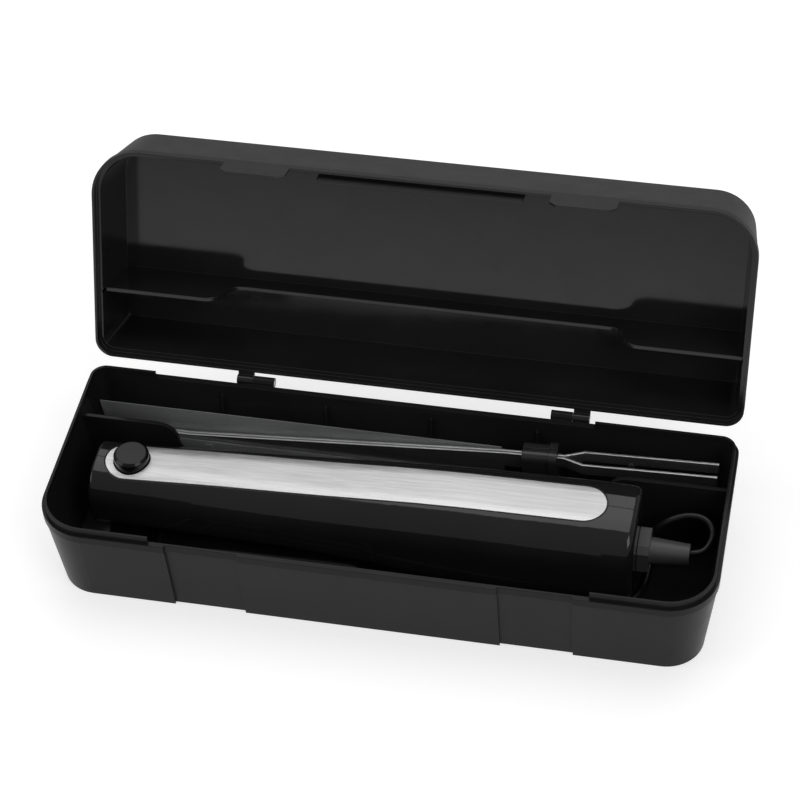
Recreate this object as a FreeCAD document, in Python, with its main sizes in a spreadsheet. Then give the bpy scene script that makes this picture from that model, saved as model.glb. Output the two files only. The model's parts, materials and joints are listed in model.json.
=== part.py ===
import FreeCAD, Part
import math
import os
import re
import Sketcher

Vec = FreeCAD.Vector
doc = FreeCAD.newDocument("carving_knife_set")
sheet = doc.addObject("Spreadsheet::Sheet", "dims")

# Driving sizes in millimetres and degrees
DIMS = {
    "front_room": 17.5,
    "rear_room": 41.5,
    "front_space": 27.7,
    "back_space": 33.7,
    "tub_height": 47.5,
    "case_draft": 5.4,
    "case_corner": 24,
    "case_wall": 2.8,
    "floor_thick": 2.5,
    "rim_band": 4.4,
    "lip_height": 3.6,
    "lip_thick": 1.3,
    "lip_setback": 1.5,
    "lip_front_room": 57.7,
    "lip_left_room": 33.5,
    "lip_right_room": 70.5,
    "latch_offset": 79.5,
    "latch_panel": 35,
    "latch_depth": 1.4,
    "divider_thick": 2,
    "divider_space": 3.2,
    "divider_drop": 2.5,
    "divider_left_room": 41.5,
    "divider_right_room": 50.5,
    "divider_low": 25,
    "wall_rib_thick": 1.2,
    "wall_rib_deep": 1.5,
    "wall_rib_drop": 5.5,
    "rear_rib_first": 95,
    "rear_rib_step": 53,
    "front_rib_step": 30,
    "seat_thick": 2,
    "seat_gap": 0.3,
    "post_room": 50.5,
    "post_foot": 2.6,
    "post_tip": 1.8,
    "lid_gap": 0.3,
    "lid_depth": 38.5,
    "lid_draft": 4,
    "lid_edge_round": 2.5,
    "lid_rim": 1.2,
    "tab_width": 32,
    "tab_drop": 12,
    "tab_thick": 1.1,
    "tab_bevel": 3.5,
    "lid_lip_half": 50,
    "lid_lip_drop": 3.4,
    "lid_rib_step": 102,
    "lid_rib_drop": 18,
    "lid_rib_rise": 2.5,
    "hinge_out": 3.8,
    "hinge_drop": 0.9,
    "hinge_radius": 2.5,
    "hinge_pin_radius": 1,
    "hinge_clear": 0.05,
    "knuckle_inner": 69.5,
    "knuckle_split": 80.2,
    "knuckle_outer": 88.5,
    "knuckle_gap": 0.3,
    "lid_open": 109.65,
    "handle_length": 266,
    "handle_base": 5,
    "ring_clear": 1.5,
    "wheel_top_share": 0.89,
    "shell_wall": 2.2,
    "end_wall": 2.6,
    "rear_round": 4,
    "front_round": 1.5,
    "strip_inset": 5.7,
    "strip_end": 15.4,
    "strip_width": 21.7,
    "strip_thick": 0.6,
    "strip_groove": 0.5,
    "button_back": 18.7,
    "button_hole": 18.2,
    "button_radius": 8.6,
    "button_proud": 4.8,
    "button_travel": 3,
    "flange_over": 1.1,
    "flange_thick": 1.4,
    "stem_radius": 3,
    "shell_gap": 0.3,
    "fit_gap": 0.05,
    "spring_wire": 0.35,
    "spring_radius": 4.4,
    "spring_length": 5,
    "button_sink": 1.6,
    "button_bevel": 1.2,
    "button_top_share": 0.846,
    "release_foot_share": 0.165,
    "stem_entry": 1,
    "switch_length": 18,
    "switch_width": 10,
    "release_back": 17,
    "release_radius": 4.5,
    "release_proud": 1.5,
    "wheel_back": 65,
    "wheel_teeth": 20,
    "wheel_pitch_radius": 8,
    "wheel_width": 3,
    "tooth_over": 0.6,
    "tooth_under": 0.95,
    "eccentric_radius": 4.6,
    "yoke_gap": 0.3,
    "eccentric_throw": 3,
    "eccentric_thick": 1.2,
    "axle_radius": 1.5,
    "axle_length": 32,
    "shaft_z": 25.6,
    "shaft_radius": 1.8,
    "shaft_lead": 18,
    "shaft_back": 23,
    "worm_pitch_radius": 2.8,
    "worm_length": 13,
    "carrier_offset": 3.6,
    "carrier_thick": 2.2,
    "carrier_low": 21.7,
    "carrier_tall": 8,
    "carrier_back": 5,
    "yoke_bar": 1.7,
    "guide_length": 16,
    "guide_wall": 1.1,
    "guide_back": 15,
    "bearing_radius": 2.7,
    "bearing_length": 5,
    "rear_bearing_radius": 6,
    "motor_back": 78,
    "core_room": 6.8,
    "core_length": 30,
    "core_width": 36,
    "core_height": 32.6,
    "core_corner": 9,
    "core_bore": 10.4,
    "air_gap": 0.4,
    "armature_over": 2,
    "armature_slots": 12,
    "slot_deep": 4.7,
    "winding_end": 5.5,
    "coil_thick": 3.6,
    "commutator_gap": 3,
    "commutator_length": 10,
    "commutator_radius": 6,
    "groove_deep": 0.6,
    "fan_radius": 14,
    "fan_width": 7,
    "fan_hub": 4.5,
    "fan_blades": 9,
    "brush_side": 4.4,
    "brush_length": 6,
    "holder_length": 10.5,
    "holder_wall": 1,
    "bracket_thick": 2.5,
    "motor_screw_radius": 1.5,
    "cap_width": 10,
    "cap_height": 16,
    "clamp_length": 6,
    "screw_radius": 1.5,
    "screw_head": 2.8,
    "screw_length": 30,
    "screw_front": 40,
    "screw_rear": 34.6,
    "boss_radius": 3.2,
    "boot_z": 25,
    "boot_y": -1,
    "flange_side": 18,
    "flange_deep": 5.5,
    "boot_length": 19,
    "boot_start": 6.5,
    "boot_end": 5.2,
    "boot_neck": 4.5,
    "cord_radius": 1.7,
    "hank_pitch": 4.1,
    "hank_room": 78.5,
    "hank_wall": 11.7,
    "hank_far_step": 2.6,
    "hank_spread": 24.7,
    "hank_run": 68,
    "hank_z": 5.6,
    "tie_x": 60,
    "tie_width": 7,
    "tie_thick": 0.8,
    "plug_width": 22,
    "plug_thick": 9.4,
    "plug_length": 28,
    "plug_left": 14,
    "plug_side": 13,
    "plug_nose": 10,
    "prong_wide": 6.3,
    "prong_thick": 1.5,
    "prong_length": 17,
    "prong_spacing": 12.7,
    "blade_room": 128,
    "heel_room": 113.4,
    "blade_space": 13,
    "blade_drop": 7.77,
    "blade_pitch": 2.1,
    "blade_depth": 24,
    "blade_thick": 1.2,
    "blade_gap": 0.4,
    "blade_teeth": 20,
    "tooth_deep": 1.3,
    "tang_tall": 6,
    "tang_length": 104,
    "tang_spread": 8.5,
    "tang_flare_start": 30,
    "tang_flare_end": 40,
    "tang_bead": 0.8,
    "neck_tall": 9,
    "collar_start": 10,
    "collar_body": 13,
    "collar_flange": 4,
    "collar_tall": 24,
    "collar_deep": 5.7,
    "collar_step": 0.8,
    "collar_round": 4,
    "slide_back": 5.6,
    "slide_ahead": 0.2,
    "rivet_room": 47,
    "rivet_radius": 1.2,
    "rivet_head": 2.4,
    "rivet_head_thick": 0.4,
    "sleeve_film": 0.4,
    "sleeve_drop": 7.6,
    "sleeve_room": 11.2,
    "sleeve_short": 1.1,
    "sleeve_front_top": 24,
    "mould_root": 1,
    "overrun": 5,
}

# Sizes worked out from the driving ones
DERIVED = {
    "wheel_rise": "worm_pitch_radius + wheel_pitch_radius",
    "ring_rise": "eccentric_radius + eccentric_throw + yoke_gap + yoke_bar",
    "wheel_z": "shaft_z + wheel_rise",
    "handle_height": "(wheel_z + ring_rise + ring_clear + shell_wall - handle_base) / wheel_top_share",
    "handle_width": "core_width + 2 * core_room",
    "case_length": "handle_length + front_room + rear_room",
    "case_width": "front_space + handle_width + back_space",
    "half_length": "case_length / 2",
    "handle_front": "half_length - front_room",
    "handle_rear": "handle_length - handle_front",
    "handle_y": "front_space + handle_width / 2 - case_width / 2",
    "divider_y": "handle_y + handle_width / 2 + divider_space",
    "divider_top": "tub_height - divider_drop",
    "divider_left": "half_length - divider_left_room",
    "divider_right": "half_length - divider_right_room",
    "lip_front_end": "half_length - lip_front_room",
    "lip_rear_left": "half_length - lip_left_room",
    "lip_rear_right": "half_length - lip_right_room",
    "wall_rib_top": "tub_height - wall_rib_drop",
    "post_x": "half_length - post_room",
    "hinge_y": "case_width / 2 + hinge_out",
    "hinge_z": "tub_height - hinge_drop",
    "strip_front": "handle_front - strip_inset",
    "strip_length": "handle_length - strip_inset - strip_end",
    "button_x": "handle_front - button_back",
    "release_x": "handle_front - release_back",
    "wheel_x": "handle_front - wheel_back",
    "guide_x": "handle_front - guide_back",
    "carrier_front": "handle_front - carrier_back",
    "shaft_front": "wheel_x + shaft_lead",
    "shaft_rear": "handle_rear - shaft_back",
    "motor_x": "handle_rear - motor_back",
    "hank_left": "half_length - hank_room",
    "hank_front": "case_width / 2 - hank_wall",
    "plug_x": "hank_left - plug_left",
    "plug_y": "divider_y - plug_side",
    "plug_z": "floor_thick + shell_gap + plug_thick / 2",
    "blade_length": "case_length - blade_room",
    "blade_heel": "half_length - heel_room",
    "blade_y": "divider_y + blade_space",
    "blade_z": "tub_height - blade_drop",
    "rivet_back": "blade_length - rivet_room",
    "sleeve_top": "tub_height - sleeve_drop",
    "sleeve_left": "half_length - sleeve_room",
    "sleeve_right": "blade_heel - sleeve_short",
}

cells = [(word, str(value)) for word, value in DIMS.items()]
cells += [(word, "=" + text) for word, text in DERIVED.items()]
for number, (word, text) in enumerate(cells, 1):
    sheet.set("A%d" % number, word)
    sheet.setAlias("B%d" % number, word)
    sheet.set("B%d" % number, text)
doc.recompute()


class Sizes:
    """Reads one driving size from the sheet."""

    def __getattr__(self, name):
        return float(sheet.get(name))


d = Sizes()
nodes = {}


def bind(obj, prop, text):
    """Bind a property to an expression in sheet words."""
    obj.setExpression(prop, re.sub(r"[a-z][a-z0-9_]*", lambda m: "dims." + m.group(0), text))


def keep(obj, label):
    obj.Label = label
    nodes[label] = obj
    return obj


def feature(name, shape):
    obj = doc.addObject("Part::Feature", name)
    obj.Shape = shape
    return obj


def box(name, x, y, z):
    """Box between pairs of expressions."""
    obj = doc.addObject("Part::Box", name)
    for pair, prop, axis in zip((x, y, z), ("Length", "Width", "Height"), "xyz"):
        bind(obj, prop, "(%s) - (%s)" % (pair[1], pair[0]))
        bind(obj, "Placement.Base." + axis, pair[0])
    return obj


def rod(name, axis, span, centre, radius):
    """Cylinder along one axis, between two expressions."""
    obj = doc.addObject("Part::Cylinder", name)
    bind(obj, "Radius", radius)
    bind(obj, "Height", "(%s) - (%s)" % (span[1], span[0]))
    if axis == "x":
        obj.Placement = FreeCAD.Placement(Vec(), FreeCAD.Rotation(Vec(0, 1, 0), 90))
        place = (span[0], centre[0], centre[1])
    elif axis == "y":
        obj.Placement = FreeCAD.Placement(Vec(), FreeCAD.Rotation(Vec(1, 0, 0), -90))
        place = (centre[0], span[0], centre[1])
    else:
        place = (centre[0], centre[1], span[0])
    for letter, text in zip("xyz", place):
        bind(obj, "Placement.Base." + letter, text)
    return obj


def fuse(name, *parts):
    obj = doc.addObject("Part::MultiFuse", name)
    obj.Shapes = list(parts)
    return obj


def cut(name, base, *tools):
    obj = doc.addObject("Part::Cut", name)
    obj.Base = base
    obj.Tool = tools[0] if len(tools) == 1 else fuse(name + "_tools", *tools)
    return obj


def group(name, *parts):
    obj = doc.addObject("Part::Compound", name)
    obj.Links = list(parts)
    return obj


# Sketch helpers for the bodies


def new_body(name):
    return doc.addObject("PartDesign::Body", name)


def new_sketch(body, plane, lift="0"):
    sk = body.newObject("Sketcher::SketchObject", body.Name + "_sketch")
    support = [f for f in body.Origin.OriginFeatures if f.Role == plane][0]
    sk.AttachmentSupport = (support, [""])
    sk.MapMode = "FlatFace"
    bind(sk, "AttachmentOffset.Base.z", lift)
    return sk


def value_of(text):
    """The number an expression stands for, to place a point before it is bound."""
    total = doc.getObject("probe")
    bind(total, "Length", text)
    total.recompute()
    return total.Length.Value


probe = doc.addObject("App::FeaturePython", "probe")
probe.addProperty("App::PropertyDistance", "Length")


def polygon(sk, points):
    """Closed outline whose corners are bound to expressions."""
    spots = [Vec(value_of(u), value_of(v), 0) for u, v in points]
    first = sk.GeometryCount
    count = len(spots)
    for i in range(count):
        sk.addGeometry(Part.LineSegment(spots[i], spots[(i + 1) % count]), False)
    for i in range(count):
        sk.addConstraint(Sketcher.Constraint("Coincident", first + i, 2, first + (i + 1) % count, 1))
    for i, (u, v) in enumerate(points):
        for kind, text, number in (("DistanceX", u, spots[i].x), ("DistanceY", v, spots[i].y)):
            at = sk.addConstraint(Sketcher.Constraint(kind, -1, 1, first + i, 1, number))
            bind(sk, "Constraints[%d]" % at, text)


def circle(sk, centre, radius):
    spot = Vec(value_of(centre[0]), value_of(centre[1]), 0)
    at = sk.addGeometry(Part.Circle(spot, Vec(0, 0, 1), value_of(radius)), False)
    for kind, text, number in (("DistanceX", centre[0], spot.x), ("DistanceY", centre[1], spot.y)):
        c = sk.addConstraint(Sketcher.Constraint(kind, -1, 1, at, 3, number))
        bind(sk, "Constraints[%d]" % c, text)
    c = sk.addConstraint(Sketcher.Constraint("Radius", at, value_of(radius)))
    bind(sk, "Constraints[%d]" % c, radius)


def pad(body, sk, length, middle=False, back=False):
    p = body.newObject("PartDesign::Pad", body.Name + "_pad")
    p.Profile = sk
    p.Midplane = middle
    p.Reversed = back
    bind(p, "Length", length)
    body.Tip = p
    return p


def pocket(body, sk, length, middle=False, back=False):
    p = body.newObject("PartDesign::Pocket", body.Name + "_pocket")
    p.Profile = sk
    p.Midplane = middle
    p.Reversed = back
    bind(p, "Length", length)
    body.Tip = p
    return p


def turned(name, axis, points):
    """Body of revolution: points are (radius, height) on axis V or (length, radius) on axis H."""
    body = new_body(name)
    sk = new_sketch(body, "XZ_Plane")
    polygon(sk, points)
    r = body.newObject("PartDesign::Revolution", name + "_turn")
    r.Profile = sk
    r.ReferenceAxis = (sk, [axis])
    r.Angle = 360
    body.Tip = r
    return body


def place(obj, x, y, z):
    for letter, text in zip("xyz", (x, y, z)):
        bind(obj, "Placement.Base." + letter, text)
    return obj


def rounded_wire(half_x, half_y, radius, z):
    """Rounded rectangle in a level plane."""
    edges = []
    ring = ((1, 1), (-1, 1), (-1, -1), (1, -1))
    ends = []
    for sx, sy in ring:
        c = Vec(sx * (half_x - radius), sy * (half_y - radius), z)
        a = c + Vec(sx * radius, 0, 0)
        b = c + Vec(0, sy * radius, 0)
        m = c + Vec(sx * radius * math.sqrt(0.5), sy * radius * math.sqrt(0.5), 0)
        ends.append((a, m, b) if sx * sy > 0 else (b, m, a))
    for i in range(len(ends)):
        edges.append(Part.Arc(*ends[i]).toShape())
        edges.append(Part.LineSegment(ends[i][2], ends[(i + 1) % len(ends)][0]).toShape())
    return Part.Wire(edges)


def drafted(inset, slope, z_ref, z_low, z_high):
    """Solid of the case outline, inset all round, with sloping sides."""
    wires = []
    for z in (z_low, z_high):
        back = inset + slope * (z_ref - z)
        wires.append(rounded_wire(d.half_length - back, d.case_width / 2 - back, d.case_corner - back, z))
    return Part.makeLoft(wires, True, True)


def block(x0, x1, y0, y1, z0, z1):
    return Part.makeBox(x1 - x0, y1 - y0, z1 - z0, Vec(x0, y0, z0))


def cylinder(radius, start, end):
    return Part.makeCylinder(radius, (end - start).Length, start, end - start)


def extrude(points, vector):
    """Solid from a closed list of points or edges."""
    if isinstance(points[0], Part.Edge):
        wire = Part.Wire(points)
    else:
        wire = Part.makePolygon(list(points) + [points[0]])
    return Part.Face(wire).extrude(vector)


def s_profile(left, right, ends_z, mid_z, base_z, y):
    """Outline in an upright plane with two S curves between the ends' and the middle's height."""
    r = abs(ends_z - mid_z) / 2
    up = 1 if ends_z > mid_z else -1
    far = d.half_length
    sag = r * (1 - math.sqrt(0.5))
    z_turn = (ends_z + mid_z) / 2
    high = ends_z - up * sag
    low = mid_z + up * sag
    left_in = left + r
    right_in = right - r

    def line(x0, z0, x1, z1):
        return Part.LineSegment(Vec(x0, y, z0), Vec(x1, y, z1)).toShape()

    def arc(*spots):
        return Part.Arc(*[Vec(x, y, z) for x, z in spots]).toShape()

    return [line(-far, base_z, -far, ends_z),
            line(-far, ends_z, left, ends_z),
            arc((left, ends_z), (left_in - sag, high), (left_in, z_turn)),
            arc((left_in, z_turn), (left_in + sag, low), (left_in + r, mid_z)),
            line(left_in + r, mid_z, right_in - r, mid_z),
            arc((right_in - r, mid_z), (right_in - sag, low), (right_in, z_turn)),
            arc((right_in, z_turn), (right_in + sag, high), (right, ends_z)),
            line(right, ends_z, far, ends_z),
            line(far, ends_z, far, base_z),
            line(far, base_z, -far, base_z)]


# Handle form: share of length, of half width, of height for top and foot, of half width for the rounds
HANDLE_SHARES = (
    (0.000, 0.735, 0.846, 0.165, 0.80, 0.62),
    (0.085, 0.755, 0.846, 0.165, 0.80, 0.62),
    (0.259, 0.852, 0.890, 0.165, 0.78, 0.64),
    (0.425, 0.920, 0.920, 0.155, 0.74, 0.64),
    (0.570, 0.958, 0.964, 0.070, 0.72, 0.66),
    (0.730, 0.984, 0.992, 0.000, 0.70, 0.66),
    (0.880, 1.000, 1.000, 0.015, 0.70, 0.66),
    (1.000, 0.990, 0.996, 0.060, 0.70, 0.66),
)
HANDLE_SEAT_SHARES = (0.730, 0.110)
END_ROUND_SHARES = ((0.0, 0.0), (0.45, 0.10), (0.80, 0.40), (1.0, 1.0))
BOND_SHARE = 0.6
CORNER_CHORDS = 4


def handle_at(share):
    """Half width, top, foot and the two rounds of the handle at a share of its length."""
    rows = HANDLE_SHARES
    for a, b in zip(rows, rows[1:]):
        if a[0] <= share <= b[0]:
            t = (share - a[0]) / (b[0] - a[0])
            w, top, foot, rt, rb = [p + (q - p) * t for p, q in zip(a[1:], b[1:])]
            half = w * d.handle_width / 2
            return (half, d.handle_base + top * d.handle_height, d.handle_base + foot * d.handle_height,
                    rt * half, rb * half)


def handle_wire(x, form, inset, chords=0):
    """Section of the handle at x: a box with large top rounds and smaller foot rounds, as arcs or chords."""
    half, top, foot, rt, rb = form
    half -= inset
    top -= inset
    foot += inset
    rt -= inset
    rb -= inset
    corners = ((half - rt, top - rt, rt, 0), (rt - half, top - rt, rt, 1),
               (rb - half, foot + rb, rb, 2), (half - rb, foot + rb, rb, 3))

    def on_corner(corner, share):
        u, z, r, quarter = corner
        a = (quarter + share) * math.pi / 2
        return Vec(x, d.handle_y + u + r * math.cos(a), z + r * math.sin(a))

    if chords:
        points = [on_corner(c, i / chords) for c in corners for i in range(chords + 1)]
        return Part.makePolygon(points + points[:1])
    edges = []
    for i, corner in enumerate(corners):
        edges.append(Part.Arc(*[on_corner(corner, share) for share in (0, 0.5, 1)]).toShape())
        following = corners[(i + 1) % len(corners)]
        edges.append(Part.LineSegment(on_corner(corner, 1), on_corner(following, 0)).toShape())
    return Part.Wire(edges)


def handle_body(inset, front, rear, chords=0):
    """Loft through the stations; each end is set in by a flat amount."""
    wires = []
    for row in HANDLE_SHARES:
        along = front + row[0] * (d.handle_length - front - rear)
        wires.append(handle_wire(along - d.handle_front, handle_at(along / d.handle_length), inset, chords))
    return Part.makeLoft(wires, True, chords > 0)


full = handle_body(0, d.front_round, d.rear_round)
front_form = handle_at(d.front_round / d.handle_length)
rear_form = handle_at(1 - d.rear_round / d.handle_length)
rear_cap = []
front_cap = []
for along, inset in END_ROUND_SHARES:
    rear_x = d.handle_rear - d.rear_round * (1 - along)
    front_x = d.front_round * (1 - along) - d.handle_front
    rear_cap.append(handle_wire(rear_x, rear_form, inset * d.rear_round))
    front_cap.append(handle_wire(front_x, front_form, inset * d.front_round))
handle_outer = full.fuse([Part.makeLoft(rear_cap, True, False), Part.makeLoft(front_cap[::-1], True, False)])
handle_inner = handle_body(d.shell_wall, d.end_wall, d.end_wall, CORNER_CHORDS)
bond_end = d.end_wall * BOND_SHARE
handle_bond = handle_body(d.shell_wall * BOND_SHARE, bond_end, bond_end, CORNER_CHORDS)


# Case tub
REAR_RIBS = 4
FRONT_RIBS = 3
COLLAR_OVER_SHARE = 0.155
H = d.tub_height
tub_slope = d.case_draft / H
half_w = d.case_width / 2
root = d.mould_root
over = d.overrun

tub_outer = drafted(0, tub_slope, H, 0, H).fuse(drafted(0, 0, H, H - d.rim_band, H)).removeSplitter()
tub_inner = drafted(d.case_wall, tub_slope, H, d.floor_thick, H + over)
tub_bond = drafted(d.case_wall - root, tub_slope, H, d.floor_thick - root, H)
lip = drafted(d.lip_setback, 0, H, H - root, H + d.lip_height)
lip = lip.cut(drafted(d.lip_setback + d.lip_thick, 0, H, H - over, H + over))
lip = lip.cut(block(-d.lip_front_end, d.lip_front_end, -half_w, 0, H - over, H + over))
lip = lip.cut(block(-d.lip_rear_left, d.lip_rear_right, 0, half_w, H - over, H + over))
tub = tub_outer.cut(tub_inner).fuse(lip)
for side in (-1, 1):
    mid = side * d.latch_offset
    panel = block(mid - d.latch_panel / 2, mid + d.latch_panel / 2, -half_w - over,
                  over - half_w + d.case_draft, -over, H + over)
    deeper = tub_outer.copy()
    deeper.translate(Vec(0, d.latch_depth, 0))
    tub = tub.cut(panel.common(tub_outer).cut(deeper))

divider_face = d.divider_y - d.divider_thick / 2
divider_side = s_profile(-d.divider_left, d.divider_right, d.divider_top, d.divider_low,
                         d.floor_thick - root, divider_face)
divider = extrude(divider_side, Vec(0, d.divider_thick, 0))
added = [divider.common(tub_bond)]
behind = tub_inner.copy()
behind.translate(Vec(0, -d.wall_rib_deep, 0))
before = tub_inner.copy()
before.translate(Vec(0, d.wall_rib_deep, 0))
rear_skin = tub_inner.cut(behind)
front_skin = tub_inner.cut(before)
half_rib = d.wall_rib_thick / 2
for i in range(REAR_RIBS):
    x = i * d.rear_rib_step - d.rear_rib_first
    added.append(rear_skin.common(block(x - half_rib, x + half_rib, d.divider_y, half_w, 0, d.wall_rib_top)))
for i in range(FRONT_RIBS):
    x = (i - FRONT_RIBS // 2) * d.front_rib_step
    added.append(front_skin.common(block(x - half_rib, x + half_rib, -half_w, 0, 0, d.wall_rib_top)))
lowered = handle_outer.copy()
lowered.translate(Vec(0, 0, -d.seat_gap))
for share in HANDLE_SEAT_SHARES:
    x = share * d.handle_length - d.handle_front
    half, top, foot, rt, rb = handle_at(share)
    reach = half - rb
    seat = block(x - d.seat_thick / 2, x + d.seat_thick / 2, d.handle_y - reach, d.handle_y + reach,
                 d.floor_thick - root, foot + root)
    added.append(seat.cut(lowered))

pitch_sin = math.sin(math.radians(d.blade_pitch))
pitch_cos = math.cos(math.radians(d.blade_pitch))
collar_over = d.collar_tall * COLLAR_OVER_SHARE
collar_mid = d.collar_start + d.collar_body / 2
collar_foot = d.blade_z + collar_mid * pitch_sin - (d.collar_tall - collar_over) * pitch_cos
rest_top = collar_foot - d.seat_gap - d.slide_back * pitch_sin
rest_x = d.blade_heel + collar_mid * pitch_cos
rest = block(rest_x - d.seat_thick / 2, rest_x + d.seat_thick / 2, d.divider_y, half_w,
             d.floor_thick - root, rest_top)
added.append(rest.common(tub_bond))
post_top = d.blade_z + (d.post_x - d.blade_heel) * pitch_sin
post_foot = Vec(d.post_x, d.blade_y, d.floor_thick - root)
post_height = post_top - d.post_tip - post_foot.z
added.append(Part.makeCone(d.post_foot, d.post_tip, post_height, post_foot))
added.append(Part.makeSphere(d.post_tip, post_foot + Vec(0, 0, post_height)))


def knuckle(x0, x1, bore, web_y, z0, z1):
    a = Vec(x0, d.hinge_y, d.hinge_z)
    b = Vec(x1, d.hinge_y, d.hinge_z)
    solid = cylinder(d.hinge_radius, a, b).fuse(block(x0, x1, web_y, d.hinge_y, z0, z1))
    return solid.cut(cylinder(bore, a, b))


for side in (-1, 1):
    ends = sorted((side * d.knuckle_inner, side * (d.knuckle_split - d.knuckle_gap / 2)))
    added.append(knuckle(ends[0], ends[1], d.hinge_pin_radius + d.fit_gap / 2, half_w - d.case_wall / 2,
                         d.hinge_z - d.hinge_radius, d.hinge_z))
tub = tub.fuse(added).removeSplitter()
keep(feature("case_tub", tub), "case_tub")

# Case lid, made closed and then swung open
Hc = H + d.lid_gap
lid_slope = -d.lid_draft / d.lid_depth
lid_top = Hc + d.lid_depth
lid_outer = drafted(0, lid_slope, Hc, Hc, lid_top)
top_edges = [e for e in lid_outer.Edges if abs(e.BoundBox.ZMin - lid_top) < d.fit_gap]
lid_outer = lid_outer.makeFillet(d.lid_edge_round, top_edges)
lid_outer = lid_outer.fuse(drafted(0, 0, Hc, Hc, Hc + d.rim_band)).removeSplitter()
lid_inner = drafted(d.case_wall, lid_slope, Hc, Hc - over, lid_top - d.floor_thick)
lid = lid_outer.cut(lid_inner)
lid = lid.cut(drafted(d.lid_rim, 0, Hc, Hc - over, Hc + d.lip_height + d.lid_gap))
lid_bond = drafted(d.case_wall - root, lid_slope, Hc, Hc, lid_top - root)
lid_added = []
rib_foot = Hc + d.lid_rib_rise
lid_rib_side = s_profile(-d.lid_rib_step, d.lid_rib_step, rib_foot, rib_foot + d.lid_rib_drop,
                         lid_top - root, divider_face)
lid_rib = extrude(lid_rib_side, Vec(0, d.divider_thick, 0))
lid_rib = lid_rib.common(lid_bond)
lid_rib = lid_rib.cut(drafted(0, 0, Hc, Hc, Hc + d.lip_height + 2 * d.lid_gap).cut(
    drafted(d.lip_setback + d.lip_thick + d.lid_gap, 0, Hc, Hc - over, lid_top)))
lid_added.append(lid_rib)
lip_out = d.case_wall + d.shell_gap + tub_slope * d.lid_lip_drop
lip_in = lip_out + d.lip_thick
lip_zone = block(-d.lid_lip_half, d.lid_lip_half, -half_w, 0, Hc - d.lid_lip_drop, Hc + 3 * d.lid_lip_drop)
root_z = Hc + d.lip_height + d.lid_gap
core = drafted(lip_in, 0, Hc, Hc - 2 * over, lid_top)
lid_lip = drafted(lip_out, 0, Hc, Hc - over, lid_top).cut(core).common(lip_zone)
lip_root = drafted(d.case_wall - root, 0, Hc, root_z, lid_top).cut(core).common(lip_zone)
lid_added.append(lid_lip.fuse(lip_root))
for side in (-1, 1):
    mid = side * d.latch_offset
    a = mid - d.tab_width / 2
    b = mid + d.tab_width / 2
    low = Hc - d.tab_drop
    tab_side = ((a, Hc + root), (a, low + d.tab_bevel), (a + d.tab_bevel, low), (b - d.tab_bevel, low),
                (b, low + d.tab_bevel), (b, Hc + root))
    lid_added.append(extrude([Vec(x, -half_w, z) for x, z in tab_side], Vec(0, d.tab_thick, 0)))
    ends = sorted((side * (d.knuckle_split + d.knuckle_gap / 2), side * d.knuckle_outer))
    lid_added.append(knuckle(ends[0], ends[1], d.hinge_pin_radius + d.hinge_clear, half_w - d.lid_rim,
                             Hc + d.fit_gap, d.hinge_z + d.hinge_radius))
lid = lid.fuse(lid_added).removeSplitter()
lid_node = keep(feature("case_lid", lid), "case_lid")
swing = FreeCAD.Rotation(Vec(1, 0, 0), -d.lid_open)
axis_point = Vec(0, d.hinge_y, d.hinge_z)
lid_node.Placement = FreeCAD.Placement(axis_point - swing.multVec(axis_point), swing)

pins = []
for side, name in ((-1, "pin_left"), (1, "pin_right")):
    span = ("knuckle_inner", "knuckle_outer") if side > 0 else ("-knuckle_outer", "-knuckle_inner")
    pins.append(rod(name, "x", span, ("hinge_y", "hinge_z"), "hinge_pin_radius"))
keep(group("hinge_pins", *pins), "hinge_pins")

# Handle housing
hy = d.handle_y
BULKHEAD_THICK_SHARE = 0.7
BRACKET_SHARE = 0.7
GUIDE_RIB_SHARE = 0.33
SWITCH_RIB_SHARE = 0.42
CORE_RIB_SHARE = 0.33
CAP_RIB_SHARE = 0.25


def pill(grow):
    """Upright prism of the trim strip's outline."""
    r = d.strip_width / 2 + grow
    a = d.strip_width / 2 - d.strip_front
    b = d.strip_length - d.strip_width / 2 - d.strip_front
    z = d.handle_base + d.handle_height / 2
    edges = [Part.LineSegment(Vec(a, hy - r, z), Vec(b, hy - r, z)).toShape(),
             Part.Arc(Vec(b, hy - r, z), Vec(b + r, hy, z), Vec(b, hy + r, z)).toShape(),
             Part.LineSegment(Vec(b, hy + r, z), Vec(a, hy + r, z)).toShape(),
             Part.Arc(Vec(a, hy + r, z), Vec(a - r, hy, z), Vec(a, hy - r, z)).toShape()]
    return extrude(edges, Vec(0, 0, d.handle_height))


def skin(prism, deep):
    low = handle_outer.copy()
    low.translate(Vec(0, 0, -deep))
    return handle_outer.common(prism).cut(low)


def column(x, y, radius, z0, z1):
    return cylinder(radius, Vec(x, y, z0), Vec(x, y, z1))


button_z = d.handle_base + d.button_top_share * d.handle_height
release_z = d.handle_base + d.release_foot_share * d.handle_height
button_bore = column(-d.button_x, hy, d.button_hole / 2, 0, button_z + d.handle_height)
keep(feature("trim_strip", skin(pill(0), d.strip_thick).cut(button_bore)), "trim_strip")

gap = d.shell_gap
flange_foot = button_z - (d.shell_wall + gap + d.button_sink + d.flange_thick)
switch_top = flange_foot - d.spring_length - d.fit_gap * 2
guide_low = d.carrier_low - d.fit_gap - d.guide_wall
guide_top = d.carrier_low + d.carrier_tall + d.fit_gap + d.guide_wall
switch_foot = guide_top + d.fit_gap * 2
carrier_out = d.carrier_offset + d.carrier_thick
guide_half = carrier_out + d.fit_gap + d.guide_wall


def bulkhead(x, z0, z1, *keepouts):
    """Rib inside the housing that holds what passes through it."""
    thick = d.shell_wall * BULKHEAD_THICK_SHARE
    rib = block(x - thick / 2, x + thick / 2, hy - d.handle_width, hy + d.handle_width, z0, z1)
    rib = rib.common(handle_bond)
    for keepout in keepouts:
        rib = rib.cut(keepout)
    return rib


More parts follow.
